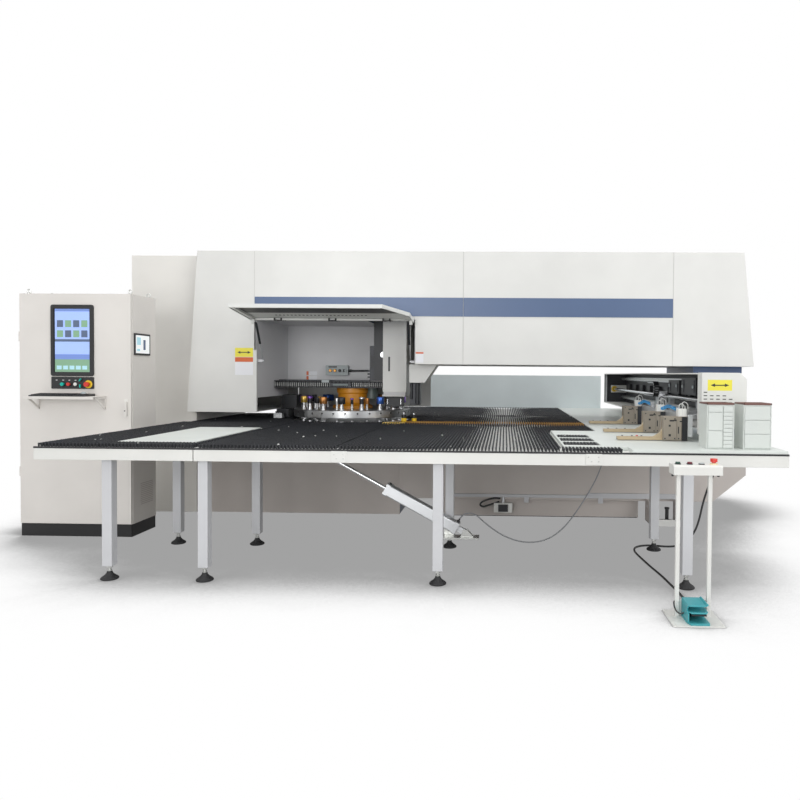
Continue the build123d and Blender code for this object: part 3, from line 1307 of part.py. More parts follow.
def pendant_stand():
    """Stand: floor plate, two posts, cross plate and the button box."""
    x0, x1, y0, y1 = STAND_PLATE
    half = STAND_POST / 2
    y = STAND_POST_Y
    stand = block(x0, x1, y0, y1, 0, STAND_PLATE_THICKNESS)
    for i in (-1, 1):
        for j in (-1, 1):
            bolt_x = (x0 + x1 + i * STAND_BOLT_PITCH[0]) / 2
            bolt_y = (y0 + y1 + j * STAND_BOLT_PITCH[1]) / 2
            stand -= rod((bolt_x, bolt_y, -1), (bolt_x, bolt_y, STAND_PLATE_THICKNESS + 1),
                         STAND_BOLT_RADIUS)
    for x in STAND_POST_X:
        stand += block(x - half, x + half, y - half, y + half, STAND_PLATE_THICKNESS, STAND_BOX_Z[0])
    stand += block(STAND_POST_X[0] - half, STAND_POST_X[1] + half, y + half, y + half + 4,
                   STAND_PLATE_THICKNESS, 96)
    bx0, bx1, by0, by1 = STAND_BOX
    box = block(bx0, bx1, by0, by1, *STAND_BOX_Z)
    box = chamfer(box.edges().filter_by(Axis.X).group_by(Axis.Z)[-1].sort_by(Axis.Y)[0], 10)
    stand += box
    top = STAND_BOX_Z[1]
    for x in STAND_BUTTON_X[:2]:
        stand -= rod((x, STAND_BUTTON_Y, top - 30), (x, STAND_BUTTON_Y, top + 1), 11 + RUNNING_FIT)
    stand -= rod((STAND_BUTTON_X[3], STAND_BUTTON_Y, top - 30),
                 (STAND_BUTTON_X[3], STAND_BUTTON_Y, top + 1), 12 + RUNNING_FIT)
    x = STAND_BUTTON_X[2]
    stand += rod((x, STAND_BUTTON_Y, top), (x, STAND_BUTTON_Y, top + 8), 14)
    return stand


def stand_button(x):
    """Round push-button in the top of the stand's box."""
    top = STAND_BOX_Z[1]
    y = STAND_BUTTON_Y
    return rod((x, y, top + 6), (x, y, top + 13), 14) + rod((x, y, top - 18), (x, y, top + 6), 11)


def stand_estop():
    """Emergency stop of the stand."""
    x, y = STAND_BUTTON_X[3], STAND_BUTTON_Y
    top = STAND_BOX_Z[1]
    head = rod((x, y, top + 16), (x, y, top + 34), 20)
    return head + rod((x, y, top - 16), (x, y, top + 16), 12)


def pedal_guard():
    """Foot-pedal base with its arched hood, open to the front."""
    x0, x1 = PEDAL_X
    y0, y1 = PEDAL_Y
    z0 = STAND_PLATE_THICKNESS
    outer = [(y0 + 66, z0 + 12), (y1, z0 + 12), (y1, z0 + 92), (y1 - 20, z0 + 110),
             (y0 + 50, z0 + 116), (y0 + 40, z0 + 98)]
    hood = along(outer, x0, x1)
    hood -= block(x0 + 10, x1 - 10, y0 - 1, y1 - 14, z0 + 12, z0 + 96)
    base = block(x0 - 6, x1 + 6, y0, y1, z0, z0 + 12)
    guard = hood + base
    for x in (x0 + 12, x1 - 22):
        guard += block(x, x + 10, -3302, -3274, z0 + 12, z0 + 40)
    guard += rod((x0 + 12, -3288, z0 + 30), (x1 - 12, -3288, z0 + 30), 5)
    return guard


def pedal_lever():
    """Treadle of the foot pedal, hinged at its rear."""
    x0, x1 = PEDAL_X[0] + 26, PEDAL_X[1] - 26
    z = STAND_PLATE_THICKNESS + 30
    lever = along([(-3300, z - 8), (-3276, z - 8), (-3276, z + 10), (-3300, z + 10),
                   (-3404, z + 26), (-3404, z + 18)], x0, x1)
    lever -= rod((x0 - 1, -3288, z), (x1 + 1, -3288, z), 5 + RUNNING_FIT)
    return lever


def tool_drawers():
    """Two small drawer units that stand on the front right table."""
    z0 = TABLE_Z + PLAIN_LEVEL
    units = []
    for x0, x1, rows in ((2424.0, 2613.0, (0.62, 0.31)), (2668.0, 2854.0, (0.66, 0.33))):
        y0, y1, height = -2700.0, -2520.0, 300.0
        unit = block(x0, x1, y0, y1, z0, z0 + height)
        unit -= block(x0 + 6, x1 - 6, y0 + 6, y1 - 6, z0 + height - 12, z0 + height + 1)
        for share in rows:
            z = z0 + height * share
            unit -= block(x0 + 8, x1 - 8, y0 - 1, y0 + 5, z - 2, z + 2)
        units.append(unit)
    return group(units)


def main():
    """Build every node and write it."""
    y_front = CABINET_FRONT_Y - 8
    nodes = {
        "o_frame": o_frame(),
        "left_enclosure": left_enclosure(),
        "lower_covers": lower_covers(),
        "left_cover": left_cover(),
        "bay_cover": bay_cover(),
        "centre_cover": centre_cover(),
        "right_cover": right_cover(),
        "blue_band": blue_band(),
        "bay_liner": bay_liner(),
        "button_box": button_box(),
        "ram_housing": ram_housing(),
        "ram": ram(),
        "upper_turret": upper_turret(),
        "turret_tools": turret_tools(),
        "turret_hub": turret_hub(),
        "lower_turret": lower_turret(),
        "chain_drive": chain_drive(),
        "gull_cover": gull_cover(),
        "strut_barrels": strut_barrels(),
        "strut_rods": strut_rods(),
        "left_table": left_table(),
        "centre_table": centre_table(),
        "right_table": right_table(),
        "rear_table": rear_table(),
        "front_brushes": front_brushes(),
        "rear_brushes": rear_brushes(),
        "plain_plates": plain_plates(),
        "table_legs": table_legs(),
        "levelling_feet": levelling_feet(),
        "rear_guard": rear_guard(),
        "drop_flap": drop_flap(),
        "cylinder_barrel": cylinder_barrel(),
        "cylinder_rod": cylinder_rod(),
        "cylinder_bracket": cylinder_bracket(),
        "beam_housing": beam_housing(),
        "beam_end_cover": beam_end_cover(),
        "ball_screw": ball_screw(),
        "cable_chain": cable_chain(),
        "cross_carriage": cross_carriage(),
        "clamp_bodies": clamp_bodies(),
        "clamp_jaws": clamp_jaws(),
        "air_coils": air_coils(),
        "air_hose": air_hose(),
        "cabinet_shell": cabinet_shell(),
        "cabinet_door": cabinet_door(),
        "door_handle": door_handle(),
        "operator_panel": operator_panel(),
        "start_button": push_button(BUTTON_X["start"], y_front, BUTTON_Z, 11, 14),
        "stop_button": push_button(BUTTON_X["stop"], y_front, BUTTON_Z, 11, 14),
        "cabinet_estop": mushroom(BUTTON_X["estop"], y_front, BUTTON_Z, 12, 20),
        "keyboard_shelf": keyboard_shelf(),
        "keyboard": keyboard(),
        "pendant_stand": pendant_stand(),
        "stand_button_left": stand_button(STAND_BUTTON_X[0]),
        "stand_button_right": stand_button(STAND_BUTTON_X[1]),
        "stand_estop": stand_estop(),
        "pedal_guard": pedal_guard(),
        "pedal_lever": pedal_lever(),
        "pendant_cable": pendant_cable(),
        "tool_drawers": tool_drawers(),
    }
    print(len(nodes), "nodes")
    for node, shape in nodes.items():
        save(shape, node)


main()
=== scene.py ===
"""Looks of a turret punch press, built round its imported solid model.

Sizes are millimetres in the model's own frame: X along the machine's frame, Y from the
front table to the rear table, Z up from the floor. Pieces are turned to metres as they
are built.
"""
import logging
import math
import random
from collections.abc import Callable
from dataclasses import dataclass
from enum import Enum

import bmesh
import bpy
from mathutils import Matrix, Vector


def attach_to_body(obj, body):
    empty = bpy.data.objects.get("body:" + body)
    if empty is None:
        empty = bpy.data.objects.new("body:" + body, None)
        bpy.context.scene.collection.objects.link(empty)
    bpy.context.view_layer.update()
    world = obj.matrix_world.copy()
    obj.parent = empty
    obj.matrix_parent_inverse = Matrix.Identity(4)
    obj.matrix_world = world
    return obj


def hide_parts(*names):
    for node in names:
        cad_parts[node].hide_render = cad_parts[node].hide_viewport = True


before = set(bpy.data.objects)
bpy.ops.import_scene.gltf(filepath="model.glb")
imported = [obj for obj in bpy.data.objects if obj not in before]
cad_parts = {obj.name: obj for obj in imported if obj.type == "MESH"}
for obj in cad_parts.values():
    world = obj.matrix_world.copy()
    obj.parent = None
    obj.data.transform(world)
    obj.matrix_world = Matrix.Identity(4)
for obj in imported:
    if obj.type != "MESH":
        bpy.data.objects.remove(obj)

LOG = logging.getLogger("punch_press")
MM = 0.001
UP, FRONT = (0, 0, 1), (0, -1, 0)
CREASE, ROUNDED = math.radians(35), math.radians(40)
# closes the doubled corners of a solid before its edges are rounded, in millimetres
WELD_GAP = 0.02
Point = tuple[float, float, float]
Pair = tuple[float, float]
Rect = tuple[float, float, float, float]
Box = tuple[float, float, float, float, float, float]
Colour = tuple[float, float, float, float]


# Colours and materials

def linear(code: str, gain: float = 1.0) -> Colour:
    """Turn an sRGB hex colour into linear light.

    Args:
        code: Six hex digits.
        gain: Factor on the linear values.

    Returns:
        Red, green, blue and alpha, from 0 to 1.
    """
    values = [int(code[i:i + 2], 16) / 255 for i in (0, 2, 4)]
    curve = [v / 12.92 if v <= 0.04045 else ((v + 0.055) / 1.055) ** 2.4 for v in values]
    return (*(min(1.0, gain * v) for v in curve), 1.0)


def add_node(tree: bpy.types.NodeTree, kind: str, values: dict | None = None,
             links: dict | None = None, **settings: object) -> bpy.types.Node:
    """Add one shader node with its settings and links.

    Args:
        tree: Node tree that gets the node.
        kind: Blender's name of the node type, without "ShaderNode".
        values: Socket values by socket name or number.
        links: Output sockets that feed the node's inputs, by input name or number.
        settings: Properties of the node itself.

    Returns:
        The new node.
    """
    node = tree.nodes.new("ShaderNode" + kind)
    for key, value in settings.items():
        setattr(node, key, value)
    for key, value in (values or {}).items():
        node.inputs[key].default_value = value
    for key, socket in (links or {}).items():
        tree.links.new(socket, node.inputs[key])
    return node


def empty_tree(owner: bpy.types.Material | bpy.types.World) -> bpy.types.NodeTree:
    """Give a material or world an empty node tree."""
    owner.use_nodes = True
    owner.node_tree.nodes.clear()
    return owner.node_tree


class Surface(Enum):
    """How a surface was made: grain and relief in mm, and its stretch along X, Y and Z.

    Real grain is 0.2 to 2 mm. The grains here are a few times coarser, so that they
    show on a machine six metres long.
    """

    POWDER_COAT = (6.0, 0.10, (1.0, 1.0, 1.0))
    ENAMEL = (14.0, 0.06, (1.0, 1.0, 1.0))
    MOULDED = (4.0, 0.08, (1.0, 1.0, 1.0))
    CAST = (9.0, 0.5, (1.0, 1.0, 1.0))
    ROLLED = (10.0, 0.04, (1.0, 0.1, 1.0))
    GROUND = (5.0, 0.03, (0.06, 1.0, 1.0))
    TURNED = (4.0, 0.03, (1.0, 1.0, 0.08))
    DRAWN = (5.0, 0.03, (1.0, 1.0, 0.05))
    BRISTLED = (3.0, 0.3, (1.0, 1.0, 0.2))
    FILM = (20.0, 0.01, (1.0, 1.0, 1.0))


@dataclass(frozen=True)
class Finish:
    """What a surface is made of, how it was made and how it takes the light."""

    name: str
    colour: str
    surface: Surface
    roughness: float
    metallic: float = 0.0
    ior: float = 1.5
    coat: float = 0.0
    drift: float = 0.03
    glow: float = 0.0

    def material(self) -> bpy.types.Material:
        """Make the material once, and find it again afterwards."""
        made = bpy.data.materials.get(self.name)
        if made:
            return made
        grain_mm, relief_mm, stretch = self.surface.value
        made = bpy.data.materials.new(self.name)
        tree = empty_tree(made)
        place = add_node(tree, "TexCoord").outputs["Object"]
        # slow drift of the tone over about a third of a metre, as rolled sheet and spray leave it
        cloud = add_node(tree, "TexNoise", {"Scale": 3.0, "Detail": 3.0}, {"Vector": place})
        tone = add_node(tree, "ValToRGB", links={"Fac": cloud.outputs["Fac"]})
        low, high = tone.color_ramp.elements
        low.position, high.position = 0.3, 0.7
        low.color = linear(self.colour, 1 - self.drift)
        high.color = linear(self.colour, 1 + self.drift)
        spread = add_node(tree, "Mapping", {"Scale": [1000 / grain_mm * s for s in stretch]},
                          {"Vector": place})
        grain = add_node(tree, "TexNoise", {"Scale": 1.0, "Detail": 2.0},
                         {"Vector": spread.outputs["Vector"]}).outputs["Fac"]
        gloss = add_node(tree, "MapRange", {"To Min": max(0.03, self.roughness - 0.06),
                                            "To Max": self.roughness + 0.06}, {"Value": grain})
        relief = add_node(tree, "Bump", {"Strength": 0.6, "Distance": relief_mm * MM},
                          {"Height": grain})
        values = {"Metallic": self.metallic, "IOR": self.ior, "Coat Weight": self.coat}
        if self.glow:
            values |= {"Emission Color": linear(self.colour), "Emission Strength": self.glow}
        skin = add_node(tree, "BsdfPrincipled", values,
                        {"Base Color": tone.outputs["Color"], "Roughness": gloss.outputs["Result"],
                         "Normal": relief.outputs["Normal"]})
        add_node(tree, "OutputMaterial", links={"Surface": skin.outputs["BSDF"]})
        return made


def stock(name: str, surface: Surface) -> Callable[..., Finish]:
    """Give the maker of finishes of one stock material.

    Args:
        name: The material, and how its surface was made.
        surface: Grain of that surface.

    Returns:
        Maker that takes the tone's name, its colour, the roughness and other facts.
    """
    def shade(tone: str, colour: str, roughness: float, **facts: float) -> Finish:
        """Finish of this stock in one tone."""
        return Finish(f"{name}_{tone}", colour, surface, roughness, **facts)

    return shade


# Powder coat on sheet steel: satin, faint orange peel, no metal shine
coat = stock("sheet_steel_powder_coat", Surface.POWDER_COAT)
COVER = coat("light_grey", "dcdcd9", 0.42)
HOUSING = coat("stone", "e6e4df", 0.5)
CABINET = coat("warm_white", "e0dcd7", 0.48)
SKIRT = coat("white", "dcdcd8", 0.4)
LINING = coat("mid_grey", "dadadc", 0.5)
FENCE = coat("grey_green", "dde6e8", 0.5)
GUARD = coat("off_white", "dedfdc", 0.4)
DRAWER = coat("mist", "ced3cf", 0.4)
LOWER = coat("warm_grey", "c4bdb8", 0.5)
# dark grey sheet on the guard's underside: painted shade over the off-white guard paint
PAINTED_SHADE_UNDERSIDE = coat("dark_grey", "4a4b4d", 0.5)
LEG = Finish("square_tube_powder_coat_pale_blue_grey", "c6c7ca", Surface.POWDER_COAT, 0.42)
# Machine enamel: thicker and glossier, slow waves
FRAME = Finish("steel_plate_enamel_slate_blue", "43587d", Surface.ENAMEL, 0.4)
HUB = Finish("grey_iron_enamel_amber", "d08a1c", Surface.ENAMEL, 0.38)
TEAL = Finish("zinc_casting_enamel_teal", "419ea6", Surface.ENAMEL, 0.35)
GREY_GREEN = Finish("steel_tube_enamel_grey_green", "687472", Surface.ENAMEL, 0.4)
RIM_BROWN = Finish("steel_rim_enamel_brown_red", "6d4b44", Surface.ENAMEL, 0.4)
BLACK_PAINT = Finish("steel_satin_black_paint", "1a1c21", Surface.ENAMEL, 0.45)
PLINTH = Finish("steel_plinth_matt_black_paint", "19191a", Surface.ENAMEL, 0.6)
# Bare metals keep the default index and show their tool marks in the roughness
STEEL = Finish("tool_steel_ground", "c8c9ca", Surface.GROUND, 0.28, 1.0)
TURNED = Finish("tool_steel_turned", "c2c3c4", Surface.TURNED, 0.3, 1.0)
OXIDE = Finish("tool_steel_black_oxide", "333437", Surface.TURNED, 0.4, 0.6)
CHROME = Finish("steel_hard_chrome", "dddee0", Surface.DRAWN, 0.14, 1.0)
ZINC = Finish("steel_zinc_plated", "c6c7c4", Surface.ROLLED, 0.35, 1.0)
ALU = Finish("aluminium_anodised", "c9cbcd", Surface.DRAWN, 0.42, 0.85)
PLATE = Finish("steel_plate_clear_lacquer", "d6dbd7", Surface.ROLLED, 0.35)
CLAMP = Finish("spheroidal_iron_phosphated", "928a7e", Surface.CAST, 0.5, 0.2)
JAW = Finish("tool_steel_bronze_nitrided", "b9a88b", Surface.GROUND, 0.4, 0.5)
COPPER = Finish("bronze_turned", "b07a45", Surface.TURNED, 0.35, 0.8)
GOLD = Finish("steel_titanium_nitride", "b89a4c", Surface.TURNED, 0.3, 0.7)
BLUE_CAP = Finish("aluminium_anodised_blue", "3f68b8", Surface.TURNED, 0.3, 0.6)
VIOLET_CAP = Finish("aluminium_anodised_violet", "7d57b4", Surface.TURNED, 0.3, 0.6)
# Nylon tufts: dull, dark between the hairs, uneven from tuft to tuft
bristle = stock("nylon_bristle", Surface.BRISTLED)
BRISTLE = bristle("black", "1f2126", 0.5, drift=0.2)
BRISTLE_AMBER = bristle("amber", "b98b45", 0.5, drift=0.2)
# Plastics and rubber: moulded grain, soft shine of a dielectric
moulded = stock("abs_moulded", Surface.MOULDED)
ABS_BLACK = moulded("black", "1e1f21", 0.4)
ABS_GREY = moulded("grey", "a9b1b2", 0.45)
ABS_WHITE = moulded("white", "ecece8", 0.4)
ABS_RED = moulded("red", "d63a31", 0.3)
ABS_GREEN = moulded("sea_green", "14bfae", 0.3)
ABS_DARK_GREEN = moulded("dark_green", "1f4a3e", 0.35)
ABS_DARK_RED = moulded("dark_red", "6e2230", 0.35)
ABS_YELLOW = moulded("yellow", "e9c21f", 0.35)
ABS_CREAM = moulded("cream", "e6d9b4", 0.4)
LENS = Finish("polycarbonate_amber", "f2a62b", Surface.MOULDED, 0.2, glow=0.25)
LAMP_LENS = Finish("polycarbonate_opal", "f4f6fa", Surface.MOULDED, 0.2, glow=1.5)
RUBBER = Finish("rubber_moulded_black", "212123", Surface.MOULDED, 0.65)
SEAM = Finish("rubber_seal_strip_light_grey", "c2c1be", Surface.MOULDED, 0.6)
# Extruded hoses: fine draw lines along the length
hose = stock("pvc_extruded", Surface.DRAWN)
PVC_BLACK = hose("black", "1f2021", 0.4)
PVC_DARK = hose("dark_grey", "2b2c2e", 0.45)
PVC_SMOKE = hose("smoke_grey", "85878a", 0.35)
PU_BLUE = Finish("polyurethane_extruded_blue", "3793cc", Surface.DRAWN, 0.3)
PA_WHITE = Finish("polyamide_extruded_white", "d9dad7", Surface.DRAWN, 0.35)
# Printed film: smooth, one even tone
film = stock("vinyl_film", Surface.FILM)
BAND = film("slate_blue", "516587", 0.35)
SIGN_YELLOW = film("yellow", "eadf4a", 0.4)
SIGN_ORANGE = film("orange", "d2622f", 0.4)
SIGN_WHITE = film("white", "e9eaee", 0.4)
SIGN_BLACK = film("black", "2a2a26", 0.4)
# Glass and lit panels: glossy, with a glow of their own
GLASS = Finish("float_glass_black_backed", "14161a", Surface.FILM, 0.08, coat=0.5)
lit = stock("lit_panel", Surface.FILM)
SCREEN_SKY = lit("light_blue", "9db6f0", 0.2, glow=0.35)
SCREEN_DEEP = lit("mid_blue", "7089c9", 0.2, glow=0.3)
SCREEN_GREEN = lit("green", "7ea487", 0.2, glow=0.25)
SCREEN_SLATE = lit("slate", "56657f", 0.2, glow=0.2)
SCREEN_WHITE = lit("white", "f3f6f7", 0.2, glow=0.3)
SCREEN_PALE = lit("pale_cyan", "a9d3df", 0.2, glow=0.3)


# Objects and outlines

def show(name: str, data: bpy.types.ID) -> bpy.types.Object:
    """Put new data into the scene as an object."""
    made = bpy.data.objects.new(name, data)
    bpy.context.scene.collection.objects.link(made)
    return made


def attach(made: bpy.types.Object, body: str, slot: str, replaces: tuple[str, ...] = ()) -> None:
    """Let an object ride on a body.

    Args:
        made: The object.
        body: Body that carries it.
        slot: Name of its material slot, which is only logged.
        replaces: Solid nodes that it stands for.
    """
    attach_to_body(made, body)
    if replaces:
        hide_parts(*replaces)
    LOG.info("%s: %s on %s", made.name, slot, body)


def round_edges(piece: bpy.types.Object, width: float) -> None:
    """Round the sharp edges of a piece.

    Args:
        piece: Object to round.
        width: Width of the rounding in millimetres.
    """
    bevel = piece.modifiers.new("edges", "BEVEL")
    bevel.width = width * MM
    bevel.segments = 2
    bevel.limit_method = "ANGLE"
    bevel.angle_limit = ROUNDED
    bevel.harden_normals = True


def dress(finish: Finish, *nodes: str, bevel: float = 0.0) -> None:
    """Give solid nodes their finish, and folded-sheet edges their rounding.

    Args:
        finish: Finish of the nodes.
        nodes: Names of the nodes.
        bevel: Width of the edge rounding in millimetres.
    """
    for node in nodes:
        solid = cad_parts[node]
        solid.data.materials.clear()
        solid.data.materials.append(finish.material())
        if bevel:
            weld = solid.modifiers.new("weld", "WELD")
            weld.merge_threshold = WELD_GAP * MM
            round_edges(solid, bevel)


def block(x0: float, x1: float, y0: float, y1: float) -> list[Pair]:
    """Outline of a rectangle."""
    return [(x0, y0), (x1, y0), (x1, y1), (x0, y1)]


def rounded(x0: float, x1: float, z0: float, z1: float, radius: float) -> list[Pair]:
    """Outline of a rectangle with round corners.

    Args:
        x0: Left side.
        x1: Right side.
        z0: Lower side.
        z1: Upper side.
        radius: Radius of the corners.

    Returns:
        The outline's corners in order.
    """
    a, b, c, d = x0 + radius, x1 - radius, z0 + radius, z1 - radius
    outline = []
    for cx, cz, first in ((b, d, 0), (a, d, 90), (a, c, 180), (b, c, 270)):
        for step in range(5):
            turn = math.radians(first + step * 22.5)
            outline.append((cx + radius * math.cos(turn), cz + radius * math.sin(turn)))
    return outline


def turned(outline: list[Pair], centre: Pair, angle: float) -> list[Pair]:
    """Turn an outline about its own origin, and then move the origin to a centre.

    Args:
        outline: Corners in order.
        centre: Where the outline's origin goes.
        angle: Turn in radians.

    Returns:
        The moved corners in the same order.
    """
    c, s = math.cos(angle), math.sin(angle)
    return [(centre[0] + u * c - v * s, centre[1] + u * s + v * c) for u, v in outline]


def circle(centre: Vector, side: Vector, other: Vector, radius: float, count: int) -> list[Vector]:
    """Points of a circle.

    Args:
        centre: Its centre.
        side: Direction in its plane, where it starts.
        other: Direction in its plane, a quarter turn on.
        radius: Its radius.
        count: Number of points.

    Returns:
        The points in order.
    """
    turns = [2 * math.pi * i / count for i in range(count)]
    return [centre + radius * (math.cos(t) * side + math.sin(t) * other) for t in turns]


def smooth_line(points: list[Vector], steps: int = 6) -> list[Vector]:
    """Pass a smooth curve through points.

    Args:
        points: Points to pass.
        steps: Parts that each span is cut into.

    Returns:
        The points along the curve.
    """
    ends = [2 * points[0] - points[1], *points, 2 * points[-1] - points[-2]]
    line = []
    for a, b, c, d in zip(ends, ends[1:], ends[2:], ends[3:]):
        for i in range(steps):
            t = i / steps
            line.append(0.5 * (2 * b + (c - a) * t + (2 * a - 5 * b + 4 * c - d) * t * t
                               + (3 * b - a - 3 * c + d) * t * t * t))
    return [*line, points[-1]]


class Axis(Enum):
    """Axis of a prism: which of outline and length give its corners' X, Y and Z."""

    X = (2, 0, 1)
    Y = (0, 2, 1)
    Z = (0, 1, 2)


class Part:
    """One piece in the making: faces in millimetres, each with its finish."""

    def __init__(self, name: str, place: Matrix | None = None) -> None:
        """Start an empty piece.

        Args:
            name: Name of the piece.
            place: Frame that its corners are given in, if not the model's own.
        """
        self.name = name
        self.place = place or Matrix()
        self.mesh = bmesh.new()
        self.finishes: list[Finish] = []

    def faces(self, corners: list, loops: list, finish: Finish) -> None:
        """Add faces over their own corners.

        Args:
            corners: Points in millimetres.
            loops: Corner numbers of each face.
            finish: Finish of these faces.
        """
        if finish not in self.finishes:
            self.finishes.append(finish)
        verts = [self.mesh.verts.new(self.place @ Vector(c)) for c in corners]
        for loop in loops:
            face = self.mesh.faces.new([verts[i] for i in loop])
            face.material_index = self.finishes.index(finish)
            face.smooth = True

    def prism(self, axis: Axis, outline: list[Pair], start: float, end: float,
              finish: Finish) -> None:
        """Draw an outline out along an axis.

        Args:
            axis: Direction of the prism. The outline is Y-Z, X-Z or X-Y.
            outline: Corners in order.
            start: Where the prism begins on the axis.
            end: Where it ends.
            finish: Finish of its faces.
        """
        corners = [[(u, v, w)[i] for i in axis.value] for w in (start, end) for u, v in outline]
        n = len(outline)
        loops = [tuple(range(n)), tuple(range(2 * n - 1, n - 1, -1))]
        loops += [(i, (i + 1) % n, n + (i + 1) % n, n + i) for i in range(n)]
        self.faces(corners, loops, finish)

    def box(self, finish: Finish, *boxes: Box) -> None:
        """Add boxes, each given by its two ends in X, in Y and in Z."""
        for x0, x1, y0, y1, z0, z1 in boxes:
            self.prism(Axis.Z, block(x0, x1, y0, y1), z0, z1, finish)

    def lathe(self, base: Point, direction: Point, profile: list[Pair], finish: Finish,
              sides: int = 24, ring: bool = False) -> None:
        """Turn a profile about an axis.

        Args:
            base: Point on the axis that heights are measured from.
            direction: The axis.
            profile: Radius and height of each ring.
            finish: Finish of its faces.
            sides: Corners of each ring.
            ring: Join the last ring to the first.
        """
        axis = Vector(direction).normalized()
        side = axis.orthogonal().normalized()
        corners, rings, loops = [], [], []
        for radius, height in profile:
            count = 1 if radius < 1e-6 else sides
            rings.append([len(corners) + i for i in range(count)])
            corners += circle(Vector(base) + axis * height, side, axis.cross(side), radius,
                              sides)[:count]
        for low, high in zip(rings, rings[1:] + rings[:1] if ring else rings[1:]):
            for i in range(sides):
                j = (i + 1) % sides
                loop = [low[i % len(low)], low[j % len(low)], high[j % len(high)],
                        high[i % len(high)]]
                loops.append(tuple(dict.fromkeys(loop)))
        if not ring:
            loops += [tuple(rings[0][::-1]), tuple(rings[-1])]
        self.faces(corners, [loop for loop in loops if len(loop) > 2], finish)

    def rod(self, start: Point, end: Point, radius: float, finish: Finish, sides: int = 20,
            edge: float = 0.0) -> None:
        """Add a round bar.

        Args:
            start: Centre of one end.
            end: Centre of the other end.
            radius: Radius of the bar.
            finish: Finish of its faces.
            sides: Corners round it.
            edge: Size of the chamfer at both ends.
        """
        line = Vector(end) - Vector(start)
        profile = [(radius - edge, 0.0), (radius, edge), (radius, line.length - edge),
                   (radius - edge, line.length)]
        self.lathe(start, line, profile if edge else profile[1:3], finish, sides)

    def pipe(self, points: list[Point], radius: float, finish: Finish, sides: int = 10) -> None:
        """Add a bent tube through points, smoothed between them.

        Args:
            points: Points that the centre line passes.
            radius: Radius of the tube.
            finish: Finish of its faces.
            sides: Corners round it.
        """
        line = smooth_line([Vector(p) for p in points])
        normal = (line[1] - line[0]).orthogonal().normalized()
        corners = []
        for i, point in enumerate(line):
            ahead = (line[min(i + 1, len(line) - 1)] - line[max(i - 1, 0)]).normalized()
            normal = (normal - ahead * normal.dot(ahead)).normalized()
            corners += circle(point, normal, ahead.cross(normal), radius, sides)
        loops = [tuple(range(sides - 1, -1, -1)), tuple(range(len(corners) - sides, len(corners)))]
        for first in range(0, len(corners) - sides, sides):
            for k in range(sides):
                a, b = first + k, first + (k + 1) % sides
                loops.append((a, b, b + sides, a + sides))
        self.faces(corners, loops, finish)

    def build(self, body: str, slot: str, bevel: float = 0.0,
              replaces: tuple[str, ...] = ()) -> None:
        """Turn the piece into an object that rides on a body.

        Args:
            body: Body that carries it.
            slot: Name of its material slot, which is only logged.
            bevel: Width of the edge rounding in millimetres.
            replaces: Solid nodes that the piece stands for.
        """
        bmesh.ops.recalc_face_normals(self.mesh, faces=self.mesh.faces[:])
        self.mesh.transform(Matrix.Scale(MM, 4))
        mesh = bpy.data.meshes.new(self.name)
        self.mesh.to_mesh(mesh)
        self.mesh.free()
        for finish in self.finishes:
            mesh.materials.append(finish.material())
        mesh.set_sharp_from_angle(angle=CREASE)
        made = show(self.name, mesh)
        if bevel:
            round_edges(made, bevel)
        attach(made, body, slot, replaces)


# Studio

